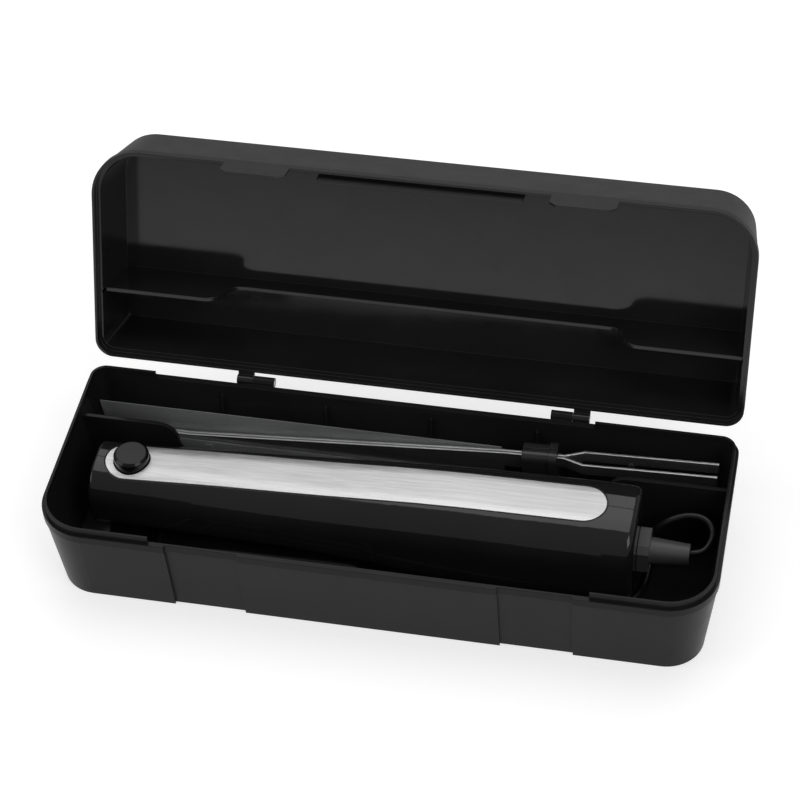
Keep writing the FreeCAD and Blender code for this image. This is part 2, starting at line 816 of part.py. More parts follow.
far_x = d.handle_length
wheel_z = d.wheel_z
worm_back = d.worm_length + d.mould_root - d.wheel_x
core_half_w = d.core_width / 2
core_half_h = d.core_height / 2
holes = [column(-d.button_x, hy, d.button_radius + gap, button_z - d.handle_height / 2, button_z + over)]
core_room = rounded_wire(core_half_w + gap, core_half_h + gap, d.core_corner, 0)
core_keep = Part.Face(core_room).extrude(Vec(0, 0, far_x))
core_keep.rotate(Vec(), Vec(0, 0, 1), 90)
core_keep.rotate(Vec(), Vec(0, 1, 0), 90)
core_keep.translate(Vec(0, hy, d.shaft_z))
core_end = d.core_length / 2 + d.armature_over
commutator_x = d.motor_x + core_end + d.winding_end + d.commutator_gap
fan_b = d.motor_x - core_end - d.winding_end - root
fan_a = fan_b - d.fan_width
bracket_x = commutator_x + d.commutator_length + d.holder_length
bracket_half = core_half_w * BRACKET_SHARE
cap_x = bracket_x + d.bearing_length + d.clamp_length


def all_along(half, z0, z1):
    """Room kept free through the whole handle."""
    return block(-far_x, far_x, hy - half - gap, hy + half + gap, z0 - gap, z1 + gap)


ribs = [
    bulkhead(-d.guide_x - d.guide_length * GUIDE_RIB_SHARE, 0, guide_top + root,
             all_along(guide_half, guide_low, guide_top + over)),
    bulkhead(d.switch_length * SWITCH_RIB_SHARE - d.button_x, 0, switch_top,
             all_along(d.switch_width / 2, guide_low, button_z),
             all_along(guide_half, guide_low, guide_top)),
    bulkhead(worm_back + d.bearing_length / 2, 0, d.shaft_z + d.bearing_radius + root * 2,
             all_along(d.fan_radius, d.shaft_z - d.bearing_radius * 2, far_x)),
    bulkhead(bracket_x + d.bearing_length / 2, 0, far_x,
             all_along(bracket_half, d.shaft_z - core_half_h, d.shaft_z + core_half_h)),
    bulkhead(cap_x + d.cap_width / 2, 0, d.shaft_z + d.cap_height * CAP_RIB_SHARE,
             all_along(core_half_w, d.shaft_z - d.cap_height / 2, far_x)),
    bulkhead(d.motor_x - d.core_length * CORE_RIB_SHARE, 0, far_x, core_keep),
    bulkhead(d.motor_x + d.core_length * CORE_RIB_SHARE, 0, far_x, core_keep),
]
shell = handle_outer.cut(handle_inner).fuse(ribs)

# Screws between the gear and the fan, as shares of the way and of the handle's height, and two end screws
SCREW_SHARES = ((0.124, 0.74), (0.449, 0.30), (0.739, 0.78))
FRONT_SCREW_SHARE = 0.66
REAR_SCREW_SHARE = 0.82
SCREW_HALF = d.screw_length / 2
gear_end = worm_back + d.bearing_length
screw_spots = [(d.screw_front - d.handle_front, FRONT_SCREW_SHARE),
               (d.handle_rear - d.screw_rear, REAR_SCREW_SHARE)]
screw_spots += [(gear_end + along * (fan_a - gear_end), up) for along, up in SCREW_SHARES]
bosses = []
drills = []
screws = []
for x, up in screw_spots:
    z = d.handle_base + up * d.handle_height
    head = Vec(x, hy + SCREW_HALF, z)
    tail = Vec(x, hy - SCREW_HALF, z)
    bosses.append(cylinder(d.boss_radius, Vec(x, hy - d.handle_width, z), Vec(x, hy + d.handle_width, z)))
    drills.append(cylinder(d.screw_radius + d.fit_gap, tail - Vec(0, gap, 0), head))
    drills.append(cylinder(d.screw_head + gap, head, head + Vec(0, d.handle_width, 0)))
    screw = cylinder(d.screw_radius, tail, head + Vec(0, root, 0))
    socket = head + Vec(0, d.screw_head / 2 + gap / 3, 0)
    screw = screw.fuse(cylinder(d.screw_head, head + Vec(0, gap / 3, 0), head + Vec(0, d.screw_head, 0)))
    slot = block(x - d.screw_head, x + d.screw_head, socket.y, socket.y + d.screw_head, z - gap, z + gap)
    screws.append(screw.cut(slot).cut(slot.copy().rotate(Vec(x, 0, z), Vec(0, 1, 0), 90)).removeSplitter())
axle_half = d.axle_length / 2
for side in (-1, 1):
    start = Vec(-d.wheel_x, hy + side * (carrier_out + gap * 2), wheel_z)
    bosses.append(cylinder(d.boss_radius, start, Vec(-d.wheel_x, hy + side * d.handle_width, wheel_z)))
drills.append(cylinder(d.axle_radius + d.fit_gap, Vec(-d.wheel_x, hy - axle_half - gap, wheel_z),
                       Vec(-d.wheel_x, hy + axle_half + gap, wheel_z)))
shell = shell.fuse([b.common(handle_bond) for b in bosses])
holes.append(skin(pill(d.strip_groove), d.strip_thick + d.fit_gap))
holes.append(column(-d.release_x, hy, d.release_radius + gap, 0, release_z + d.shell_wall * 3))
for side in (-1, 1):
    y = hy + side * (d.carrier_offset + d.carrier_thick / 2)
    holes.append(block(-far_x, d.end_wall * 2 - d.handle_front, y - d.carrier_thick, y + d.carrier_thick,
                       d.carrier_low, d.carrier_low + d.carrier_tall))
neck_start = Vec(d.handle_rear - 2 * d.end_wall, d.boot_y, d.boot_z)
holes.append(cylinder(d.boot_neck + d.fit_gap, neck_start, neck_start + Vec(far_x, 0, 0)))
shell = shell.cut(holes + drills)
left = shell.common(block(-far_x, far_x, hy - far_x, hy, -far_x, far_x))
right = shell.common(block(-far_x, far_x, hy, hy + far_x, -far_x, far_x))
keep(feature("housing_left", left), "housing_left")
keep(feature("housing_right", right), "housing_right")
keep(feature("housing_screws", Part.makeCompound(screws)), "housing_screws")

# Buttons
SINK = "shell_wall + shell_gap + button_sink"
button = turned("power_button", "V_Axis", (
    ("0", "button_proud"), ("button_radius - button_bevel", "button_proud"),
    ("button_radius", "button_proud - button_bevel"), ("button_radius", "-(%s)" % SINK),
    ("button_radius + flange_over", "-(%s)" % SINK),
    ("button_radius + flange_over", "-(%s + flange_thick)" % SINK),
    ("stem_radius", "-(%s + flange_thick)" % SINK),
    ("stem_radius", "-(%s + flange_thick + spring_length + stem_entry)" % SINK),
    ("0", "-(%s + flange_thick + spring_length + stem_entry)" % SINK)))
place(button, "-button_x", "handle_y", "handle_base + handle_height * button_top_share")
keep(button, "power_button")
RISE = "shell_wall + shell_gap"
release = turned("release_button", "V_Axis", (
    ("0", "-release_proud"), ("release_radius - mould_root", "-release_proud"),
    ("release_radius", "mould_root - release_proud"), ("release_radius", RISE),
    ("release_radius + flange_over", RISE), ("release_radius + flange_over", RISE + " + flange_thick"),
    ("0", RISE + " + flange_thick")))
place(release, "-release_x", "handle_y", "handle_base + handle_height * release_foot_share")
keep(release, "release_button")


PRESS_TURNS = 2
BRUSH_TURNS = 3
STEPS_PER_TURN = 10


def spring(x, z0, z1, radius, turns):
    """Coil spring of round wire on an upright axis."""
    wire = d.spring_wire
    low = z0 + wire + d.fit_gap
    rise = z1 - z0 - 2 * (wire + d.fit_gap)
    steps = STEPS_PER_TURN * turns
    rings = []
    for i in range(steps + 1):
        a = 360.0 * turns * i / steps
        ring = Part.makePolygon([Vec(radius + wire, 0, 0), Vec(radius, 0, wire), Vec(radius - wire, 0, 0),
                                 Vec(radius, 0, -wire), Vec(radius + wire, 0, 0)])
        ring.rotate(Vec(), Vec(0, 0, 1), a)
        ring.translate(Vec(0, 0, rise * i / steps))
        rings.append(ring)
    coil = Part.makeLoft(rings, True, True)
    coil.translate(Vec(x, hy, low))
    return coil


button_coil = spring(-d.button_x, switch_top, flange_foot, d.spring_radius, PRESS_TURNS)
keep(feature("button_spring", button_coil), "button_spring")
release_top = release_z + d.shell_wall + gap + d.flange_thick
release_coil = spring(-d.release_x, release_top, guide_low, d.release_radius - root, PRESS_TURNS)
keep(feature("release_spring", release_coil), "release_spring")
print("spring fixed ends", round(switch_top, 3), round(guide_low, 3))

well_foot = switch_top - d.button_travel - 2 * d.stem_entry
well = column(-d.button_x, hy, d.stem_radius + gap, well_foot, switch_top + over)
switch = block(-d.button_x - d.switch_length / 2, d.switch_length / 2 - d.button_x, hy - d.switch_width / 2,
               hy + d.switch_width / 2, switch_foot, switch_top)
keep(feature("switch_body", switch.cut(well)), "switch_body")

# Blade carriers and their guide
OFF = "carrier_offset"
OUT = "carrier_offset + carrier_thick"
TOP = "carrier_low + carrier_tall"
HX = "eccentric_radius + yoke_gap"
HZ = "eccentric_radius + eccentric_throw + yoke_gap"
WZ = "wheel_z"
for side, name in (("-", "near"), ("+", "far")):
    edge = sorted(("handle_y %s (%s)" % (side, OFF), "handle_y %s (%s)" % (side, OUT)), reverse=side == "-",
                  key=len)
    mid_y = ["handle_y %s (%s + carrier_thick * %s / 4)" % (side, OFF, quarters) for quarters in "13"]
    if side == "-":
        mid_y.reverse()
    bar = box("bar_" + name, ("-carrier_front", "-(wheel_x + %s)" % HX), edge, ("carrier_low", TOP))
    ring = box("ring_" + name, ("-(wheel_x + %s + yoke_bar)" % HX, "%s + yoke_bar - wheel_x" % HX), edge,
               ("%s - (%s + yoke_bar)" % (WZ, HZ), "%s + %s + yoke_bar" % (WZ, HZ)))
    window = box("window_" + name, ("-(wheel_x + %s)" % HX, "%s - wheel_x" % HX),
                 ("handle_y - handle_width", "handle_y + handle_width"),
                 ("%s - (%s)" % (WZ, HZ), "%s + %s" % (WZ, HZ)))
    socket = box("socket_" + name, ("-(carrier_front + overrun)", "guide_length - carrier_front"), mid_y,
                 ("carrier_low + mould_root", TOP + " - mould_root"))
    keep(cut("carrier_" + name, fuse("plate_" + name, bar, ring), window, socket), "carrier_" + name)
GUIDE_OUT = OUT + " + fit_gap + guide_wall"
guide_box = box("guide_box", ("-(guide_x + guide_length / 2)", "guide_length / 2 - guide_x"),
                ("handle_y - (%s)" % GUIDE_OUT, "handle_y + %s" % GUIDE_OUT),
                ("carrier_low - fit_gap - guide_wall", TOP + " + fit_gap + guide_wall"))
channels = []
for side, name in (("-", "near"), ("+", "far")):
    edge = ("handle_y + %s - fit_gap" % OFF, "handle_y + %s + fit_gap" % OUT)
    if side == "-":
        edge = ("handle_y - (%s) - fit_gap" % OUT, "handle_y - (%s) + fit_gap" % OFF)
    channels.append(box("channel_" + name, ("-(guide_x + guide_length)", "guide_length - guide_x"), edge,
                        ("carrier_low - fit_gap", TOP + " + fit_gap")))
keep(cut("carrier_guide", guide_box, *channels), "carrier_guide")

# Worm wheel with its two eccentrics
teeth = int(d.wheel_teeth)
worm_pitch = 2 * math.pi * d.wheel_pitch_radius / teeth
TOOTH_SHARES = ((-0.32, -1), (-0.15, 1), (0.15, 1), (0.32, -1))
outline = []
for i in range(teeth):
    for share, side in TOOTH_SHARES:
        a = 2 * math.pi * (i + 0.5 + share) / teeth
        r = d.wheel_pitch_radius + (d.tooth_over if side > 0 else -d.tooth_under)
        outline.append(Vec(r * math.sin(a), -d.wheel_width / 2, -r * math.cos(a)))
wheel = extrude(outline, Vec(0, d.wheel_width, 0))
for side in (-1, 1):
    start = Vec(side * d.eccentric_throw, side * d.wheel_width / 2, 0)
    wheel = wheel.fuse(cylinder(d.eccentric_radius, start, start + Vec(0, side * d.eccentric_thick, 0)))
wheel = wheel.cut(cylinder(d.axle_radius + d.fit_gap, Vec(0, -far_x, 0), Vec(0, far_x, 0))).removeSplitter()
wheel_node = keep(feature("worm_wheel", wheel), "worm_wheel")
wheel_node.Placement = FreeCAD.Placement(Vec(-d.wheel_x, hy, wheel_z), FreeCAD.Rotation())
keep(rod("wheel_axle", "y", ("handle_y - axle_length / 2", "handle_y + axle_length / 2"), ("-wheel_x", WZ),
         "axle_radius"), "wheel_axle")

# Rotor shaft with its worm
WORM_TURNS = 5
THREAD_FOOT_SHARE = 0.20
THREAD_TIP_SHARE = 0.07
helix = Part.makeHelix(worm_pitch, worm_pitch * WORM_TURNS, d.worm_pitch_radius)
foot_r = d.shaft_radius - d.fit_gap
tip_r = d.worm_pitch_radius + d.tooth_over
foot_half = THREAD_FOOT_SHARE * worm_pitch
tip_half = THREAD_TIP_SHARE * worm_pitch
thread_side = ((foot_r, -foot_half), (tip_r, -tip_half), (tip_r, tip_half), (foot_r, foot_half))
thread = [Vec(r, 0, z) for r, z in thread_side]
worm = Part.Wire(helix).makePipeShell([Part.makePolygon(thread + thread[:1])], True, True)
worm.rotate(Vec(), Vec(0, 1, 0), 90)
worm.translate(Vec(-d.wheel_x - worm_pitch * WORM_TURNS / 2, hy, d.shaft_z))
shaft = cylinder(d.shaft_radius, Vec(-d.shaft_front, hy, d.shaft_z), Vec(d.shaft_rear, hy, d.shaft_z))
keep(feature("rotor_shaft", shaft.fuse(worm)), "rotor_shaft")

AXIS = ("handle_y", "shaft_z")
BORE = "shaft_radius + hinge_clear"


def ring_part(name, span, radius, bore):
    through = ("(%s) - overrun" % span[0], "(%s) + overrun" % span[1])
    outer = rod(name + "_out", "x", span, AXIS, radius)
    return cut(name, outer, rod(name + "_bore", "x", through, AXIS, bore))


FRONT_A = "-shaft_front"
FRONT_B = "-(wheel_x - worm_length - mould_root)"
bush_a = ring_part("bush_a", (FRONT_A, FRONT_A + " + bearing_length"), "bearing_radius", BORE)
bush_b = ring_part("bush_b", (FRONT_B, FRONT_B + " + bearing_length"), "bearing_radius", BORE)
keep(group("front_bearings", bush_a, bush_b), "front_bearings")
post = "carrier_offset - shell_gap"
frame_low = "shaft_z - bearing_radius * 2"
post_y = ("handle_y - (%s)" % post, "handle_y + %s" % post)
wide_y = ("handle_y - fan_radius", "handle_y + fan_radius")
base_bar = box("frame_base", (FRONT_A, FRONT_B + " + bearing_length"), post_y,
               (frame_low, frame_low + " + bracket_thick * 3 / 5"))
post_a = box("frame_a", (FRONT_A, FRONT_A + " + bearing_length"), post_y,
             (frame_low, "shaft_z + bearing_radius + mould_root / 2"))
post_b = box("frame_b", (FRONT_B, FRONT_B + " + bearing_length"), wide_y,
             (frame_low, "shaft_z + bearing_radius + mould_root"))
frame_bore = rod("frame_bore", "x", ("-handle_length", "0"), AXIS, "bearing_radius + fit_gap")
keep(cut("gear_frame", fuse("frame_posts", base_bar, post_a, post_b), frame_bore), "gear_frame")

# Motor
CORE_B = "motor_x + core_length / 2"
body = new_body("armature_core")
sk = new_sketch(body, "YZ_Plane")
circle(sk, ("0", "0"), "core_bore - air_gap")
circle(sk, ("0", "0"), "shaft_radius + fit_gap")
pad(body, sk, "core_length + armature_over * 2", middle=True)
sk = new_sketch(body, "YZ_Plane")
SLOT_FLOOR = "core_bore - slot_deep"
polygon(sk, (("-mould_root", SLOT_FLOOR), ("mould_root", SLOT_FLOOR), ("mould_root", "core_bore"),
             ("-mould_root", "core_bore")))
cutter = pocket(body, sk, "core_length * 2", middle=True)
pattern = body.newObject("PartDesign::PolarPattern", "slots")
pattern.Originals = [cutter]
pattern.Axis = ([f for f in body.Origin.OriginFeatures if f.Role == "X_Axis"][0], [""])
pattern.Angle = 360
pattern.Occurrences = int(d.armature_slots)
body.Tip = pattern
place(body, "motor_x", "handle_y", "shaft_z")
keep(body, "armature_core")

winding = []
SLOT_FILL_SHARES = (0.60, 0.88)
r_in = d.core_bore * SLOT_FILL_SHARES[0]
r_out = d.core_bore * SLOT_FILL_SHARES[1]
for side in (-1, 1):
    a = Vec(side * (core_end + d.fit_gap), 0, 0)
    b = Vec(side * (core_end + d.winding_end), 0, 0)
    winding.append(cylinder(r_out, a, b).cut(cylinder(r_in / 2, a, b)))
for i in range(int(d.armature_slots)):
    half = root - d.fit_gap * 2
    wire_bar = block(-core_end - root, core_end + root, -half, half, r_in, r_out - gap)
    wire_bar.rotate(Vec(), Vec(1, 0, 0), 360.0 * i / d.armature_slots)
    winding.append(wire_bar)
winding = winding[0].fuse(winding[1:]).removeSplitter()
w_node = keep(feature("armature_windings", winding), "armature_windings")
w_node.Placement = FreeCAD.Placement(Vec(d.motor_x, hy, d.shaft_z), FreeCAD.Rotation())

COMMUTATOR_CUTS = 6
COM_A = CORE_B + " + armature_over + winding_end + commutator_gap"
COM_B = COM_A + " + commutator_length"
com = ring_part("commutator_ring", (COM_A, COM_B), "commutator_radius", "shaft_radius + fit_gap")
grooves = []
for i in range(COMMUTATOR_CUTS):
    g = doc.addObject("Part::Box", "groove_%d" % i)
    bind(g, "Length", "commutator_length * 4 / 5")
    bind(g, "Width", "fit_gap * 6")
    bind(g, "Height", "commutator_radius * 4")
    turn = FreeCAD.Rotation(Vec(1, 0, 0), 180.0 * i / COMMUTATOR_CUTS)
    g.Placement = FreeCAD.Placement(Vec(), turn)
    lead_in = turn.multVec(Vec(0, -d.fit_gap * 3, -d.commutator_radius * 2))
    bind(g, "Placement.Base.x", COM_A + " + commutator_length / 5")
    for letter, ratio in (("y", lead_in.y / d.commutator_radius), ("z", lead_in.z / d.commutator_radius)):
        base = "handle_y" if letter == "y" else "shaft_z"
        bind(g, "Placement.Base." + letter, "%s + commutator_radius * (%.5f)" % (base, ratio))
    grooves.append(g)
core_rod = rod("commutator_core", "x", (COM_A, COM_B), AXIS, "commutator_radius - groove_deep")
keep(cut("commutator", com, cut("groove_cut", fuse("grooves", *grooves), core_rod)), "commutator")

VANE_LEAN = 25
fan = cylinder(d.fan_hub, Vec(fan_a, hy, d.shaft_z), Vec(fan_b, hy, d.shaft_z))
fan = fan.fuse(cylinder(d.fan_radius, Vec(fan_b - root, hy, d.shaft_z), Vec(fan_b, hy, d.shaft_z)))
for i in range(int(d.fan_blades)):
    vane = block(fan_a, fan_b - root / 2, -root / 2, root / 2, d.shaft_radius * 2, d.fan_radius - gap)
    vane.rotate(Vec(), Vec(0, 0, 1), VANE_LEAN)
    vane.translate(Vec(-vane.BoundBox.XMin + fan_a, 0, 0))
    vane.rotate(Vec(), Vec(1, 0, 0), 360.0 * i / d.fan_blades)
    vane.translate(Vec(0, hy, d.shaft_z))
    fan = fan.fuse(vane)
fan = fan.common(cylinder(d.fan_radius, Vec(fan_a, hy, d.shaft_z), Vec(fan_b, hy, d.shaft_z)))
fan = fan.cut(cylinder(d.shaft_radius + d.fit_gap, Vec(-far_x, hy, d.shaft_z), Vec(far_x, hy, d.shaft_z)))
keep(feature("cooling_fan", fan.removeSplitter()), "cooling_fan")

# Field core: poles at both sides, coils round the poles
WINDOW_SHARES = (0.55, 0.80, 0.62, 0.88)
core_face = Part.Face(rounded_wire(core_half_h, core_half_w, d.core_corner - gap, 0))
field = core_face.extrude(Vec(0, 0, d.core_length))
field.rotate(Vec(), Vec(0, 1, 0), 90)
field.translate(Vec(d.motor_x - d.core_length / 2, hy, d.shaft_z))
field = field.cut(cylinder(d.core_bore, Vec(-far_x, hy, d.shaft_z), Vec(far_x, hy, d.shaft_z)))
coils = []
coil_half = d.core_length / 2 + d.coil_thick
for side in (-1, 1):
    y0, y1 = sorted(hy + side * core_half_w * s for s in WINDOW_SHARES[:2])
    z_in = core_half_h * WINDOW_SHARES[2]
    z_out = core_half_h * WINDOW_SHARES[3]
    for up in (-1, 1):
        z0, z1 = sorted(d.shaft_z + up * z for z in (z_in, z_out))
        field = field.cut(block(-far_x, far_x, y0, y1, z0, z1))
    coil = block(d.motor_x - coil_half, d.motor_x + coil_half, y0 + gap, y1 - gap, d.shaft_z - z_out + gap,
                 d.shaft_z + z_out - gap)
    inside = d.core_length / 2 + gap
    coil = coil.cut(block(d.motor_x - inside, d.motor_x + inside, y0 - over, y1 + over,
                          d.shaft_z - z_in - gap, d.shaft_z + z_in + gap))
    coil_wide = y1 - y0 - 2 * gap
    coils.append(coil.makeFillet(root, [e for e in coil.Edges if abs(e.Length - coil_wide) < d.fit_gap]))
BOLT_SHARE = 0.80
bolts = []
bolt_drill = []
for up in (-1, 1):
    z = d.shaft_z + up * core_half_h * BOLT_SHARE
    a = Vec(d.motor_x - d.core_length / 2 - d.motor_screw_radius, hy, z)
    b = Vec(bracket_x + d.bearing_length, hy, z)
    bolt_drill.append(cylinder(d.motor_screw_radius + d.fit_gap, a - Vec(over, 0, 0), b + Vec(over, 0, 0)))
    bolt = cylinder(d.motor_screw_radius, a, b)
    bolt_head = cylinder(d.motor_screw_radius * 2, a - Vec(d.motor_screw_radius, 0, 0), a)
    bolts.append(bolt.fuse(bolt_head).removeSplitter())
field = field.cut(bolt_drill)
keep(feature("field_core", field), "field_core")
keep(feature("field_coils", Part.makeCompound(coils)), "field_coils")
for bolt in bolts:
    bolt.translate(Vec(d.motor_screw_radius - gap, 0, 0))
keep(feature("motor_screws", Part.makeCompound(bolts)), "motor_screws")

# Rear bracket, bearing, brush gear
BRUSH_SHARE = 0.6
bracket = block(bracket_x, bracket_x + d.bearing_length, hy - bracket_half, hy + bracket_half,
                d.shaft_z - core_half_h, d.shaft_z + core_half_h)
brush_x = commutator_x + d.commutator_length * BRUSH_SHARE
side_half = d.brush_side / 2
holder_half = side_half + d.holder_wall
holder_in = d.commutator_radius + root
brush_in = d.commutator_radius + d.fit_gap
brush_out = brush_in + d.brush_length
holders = []
brushes = []
brush_coils = []
for side in (-1, 1):
    def y_span(a, b):
        return sorted((hy + side * a, hy + side * b))
    y0, y1 = y_span(holder_in, holder_in + d.holder_length)
    arm0, arm1 = y_span(holder_in + root, holder_in + d.holder_length)
    arm = block(brush_x - holder_half, bracket_x + root, arm0, arm1,
                d.shaft_z - holder_half - d.bracket_thick, d.shaft_z - holder_half - d.fit_gap)
    bracket = bracket.fuse(arm)
    b0, b1 = y_span(0, holder_in + d.holder_length - d.holder_wall)
    holder = block(brush_x - holder_half, brush_x + holder_half, y0, y1,
                   d.shaft_z - holder_half, d.shaft_z + holder_half)
    slot_half = side_half + d.fit_gap
    holders.append(holder.cut(block(brush_x - slot_half, brush_x + slot_half, b0, b1,
                                    d.shaft_z - slot_half, d.shaft_z + slot_half)))
    c0, c1 = y_span(brush_in, brush_out)
    brush = block(brush_x - side_half, brush_x + side_half, c0, c1,
                  d.shaft_z - side_half, d.shaft_z + side_half)
    brushes.append(brush.cut(cylinder(d.commutator_radius + d.fit_gap, Vec(-far_x, hy, d.shaft_z),
                                      Vec(far_x, hy, d.shaft_z))))
    spring_room = holder_in + d.holder_length - d.holder_wall - brush_out
    coil = spring(0, 0, spring_room, side_half - root / 2, BRUSH_TURNS)
    coil.translate(Vec(0, -hy, 0))
    coil.rotate(Vec(), Vec(1, 0, 0), -90 * side)
    coil.translate(Vec(brush_x, hy + side * brush_out, d.shaft_z))
    brush_coils.append(coil)
axis_from = Vec(-far_x, hy, d.shaft_z)
axis_to = Vec(far_x, hy, d.shaft_z)
bracket = bracket.cut([cylinder(d.rear_bearing_radius + d.fit_gap, axis_from, axis_to)] + bolt_drill)
keep(feature("motor_bracket", bracket.removeSplitter()), "motor_bracket")
keep(feature("brush_holders", Part.makeCompound(holders)), "brush_holders")
keep(feature("carbon_brushes", Part.makeCompound(brushes)), "carbon_brushes")
keep(feature("brush_springs", Part.makeCompound(brush_coils)), "brush_springs")
bush_from = Vec(bracket_x, hy, d.shaft_z)
bush = cylinder(d.rear_bearing_radius, bush_from, bush_from + Vec(d.bearing_length, 0, 0))
bush = bush.cut(cylinder(d.shaft_radius + d.hinge_clear, axis_from, axis_to))
keep(feature("rear_bearing", bush), "rear_bearing")
cap = block(cap_x, cap_x + d.cap_width, hy - core_half_w, hy - core_half_w + d.cap_width,
            d.shaft_z - d.cap_height / 2, d.shaft_z + d.cap_height / 2)
keep(feature("suppressor_capacitor", cap.makeFillet(root, cap.Edges)), "suppressor_capacitor")

# Cord boot with its flange
CORD_BORE = "cord_radius + fit_gap"
INNER = "-(end_wall + shell_gap + clamp_length)"
LAND = "-(end_wall + shell_gap)"
boot = turned("cord_boot", "H_Axis", (
    (INNER, CORD_BORE), (INNER, "boot_start"), (LAND, "boot_start"), (LAND, "boot_neck"),
    ("flange_deep", "boot_neck"), ("flange_deep", "boot_start"),
    ("flange_deep + boot_length", "boot_end"), ("flange_deep + boot_length", CORD_BORE)))
sk = new_sketch(boot, "YZ_Plane", "shell_gap / 2")
S = "flange_side / 2"
C = "flange_side / 2 - flange_side / 6"
minus_s = "-(%s)" % S
minus_c = "-(%s)" % C
polygon(sk, ((S, C), (C, S), (minus_c, S), (minus_s, C),
             (minus_s, minus_c), (minus_c, minus_s), (C, minus_s), (S, minus_c)))
circle(sk, ("0", "0"), "boot_neck * 3 / 4")
pad(boot, sk, "flange_deep")
place(boot, "handle_rear", "boot_y", "boot_z")
keep(boot, "cord_boot")

# Mains cord
cord_d = 2 * d.cord_radius
boot_tip = d.handle_rear + d.flange_deep + d.boot_length
ARC_SHARE = 0.45


def smooth(points):
    """Straight runs joined by tangent arcs; returns edges, length and least radius."""
    edges = []
    least = far_x
    here = points[0]
    for a, b, c in zip(points, points[1:], points[2:]):
        u = (b - a).normalize()
        v = (c - b).normalize()
        turn = u.getAngle(v)
        cut_back = ARC_SHARE * min(a.distanceToPoint(b), b.distanceToPoint(c))
        p = b - u * cut_back
        q = b + v * cut_back
        radius = cut_back / math.tan(turn / 2)
        least = min(least, radius)
        inward = (v - u).normalize()
        m = b + inward * (radius / math.cos(turn / 2) - radius)
        edges.append(Part.LineSegment(here, p).toShape())
        edges.append(Part.Arc(p, m, q).toShape())
        here = q
    edges.append(Part.LineSegment(here, points[-1]).toShape())
    return edges, least


def tube(edges):
    wire = Part.Wire(edges)
    start = edges[0].Vertexes[0].Point
    ahead = edges[0].tangentAt(edges[0].FirstParameter)
    ring = Part.Wire([Part.Circle(start, ahead, d.cord_radius).toShape()])
    solid = wire.makePipeShell([ring], True, False)
    expect = math.pi * d.cord_radius ** 2 * wire.Length
    return solid, wire, solid.Volume / expect


near_y = -d.hank_front
lay_z = d.floor_thick + d.cord_radius + gap
hank_right = d.hank_run - d.hank_left
# Route beyond the boot: shares of the boot length along, of the case width across and of the tub height up
LOOP_SHARES = (
    (0.20, 0.000, 0.53), (0.48, 0.048, 0.58), (0.52, 0.115, 0.655), (0.23, 0.157, 0.70),
    (-0.22, 0.160, 0.695), (-0.67, 0.133, 0.645), (-0.98, 0.117, 0.535), (-1.03, 0.114, 0.365),
    (-0.86, 0.094, 0.21), (-0.62, 0.034, 0.125))
FLOOR_SHARES = ((-0.62, -0.065), (-0.86, -0.155), (-1.33, -0.235), (-2.00, -0.302), (-2.95, -0.347),
                (-4.4, -0.366))
BOOT_ENTRY_SHARE = 0.65
# Shares of the way from there to the hank, across to its near side and up to its first layer
NEAR_SHARES = ((0.38, 0.5, 0.0), (0.74, 1.0, 0.5), (0.92, 1.0, 1.0), (1.0, 1.0, 1.0))
route = [Vec(boot_tip - d.boot_length * BOOT_ENTRY_SHARE, d.boot_y, d.boot_z)]
for a, b, c in LOOP_SHARES:
    route.append(Vec(boot_tip + a * d.boot_length, d.boot_y + b * d.case_width, c * H))
for a, b in FLOOR_SHARES:
    route.append(Vec(boot_tip + a * d.boot_length, d.boot_y + b * d.case_width, lay_z))
floor_end = route[-1]
way = Vec(hank_right, near_y, d.hank_z) - floor_end
for a, b, c in NEAR_SHARES:
    route.append(floor_end + Vec(a * way.x, b * way.y, c * way.z))
lead_edges, lead_least = smooth(route)
lead, lead_wire, lead_ratio = tube(lead_edges)
keep(feature("cord_lead", lead), "cord_lead")

# Hank of flat loops piled against the front wall; each far run climbs a layer and draws in
xl = -d.hank_left
xr = hank_right


def near_run(layer):
    """Place of the near run in a layer, leaning with the tub's wall."""
    return near_y - layer * d.hank_pitch * tub_slope, d.hank_z + layer * d.hank_pitch


def far_run(layer):
    return near_y + d.hank_spread - layer * d.hank_far_step, d.hank_z + layer * d.hank_pitch


def half_turn(x, start, end, side):
    """Half a turn from one run to the run beside it."""
    r = abs(end[0] - start[0]) / 2
    mid = Vec(x + side * r, (start[0] + end[0]) / 2, (start[1] + end[1]) / 2)
    return Part.Arc(Vec(x, *start), mid, Vec(x, *end)).toShape()


def climb(start, end):
    """A run to the right that rises and draws in by two equal tangent arcs."""
    a = Vec(xl, *start)
    b = Vec(xr, *end)
    mid = (a + b) * 0.5
    ahead = Vec(1, 0, 0)
    aside = (b - a) - ahead * (b - a).dot(ahead)
    slope = ahead.getAngle(b - a)
    sag = (mid - a).Length / 2 * math.tan(slope / 2)
    out = (aside.normalize() * math.cos(slope) - ahead * math.sin(slope)) * sag
    first = Part.Arc(a, (a + mid) * 0.5 - out, mid)
    second = Part.Arc(mid, (mid + b) * 0.5 + out, b)
    return [first.toShape(), second.toShape()]


HANK_LOOPS = 2
hank_edges = []
for layer in range(HANK_LOOPS):
    near = near_run(layer)
    far = far_run(layer)
    following = far_run(layer + 1)
    hank_edges.append(Part.LineSegment(Vec(xr, *near), Vec(xl, *near)).toShape())
    hank_edges.append(half_turn(xl, near, far, -1))
    hank_edges += climb(far, following)
    hank_edges.append(half_turn(xr, following, near_run(layer + 1), 1))
hank, hank_wire, hank_ratio = tube(hank_edges)
keep(feature("cord_hank", hank), "cord_hank")

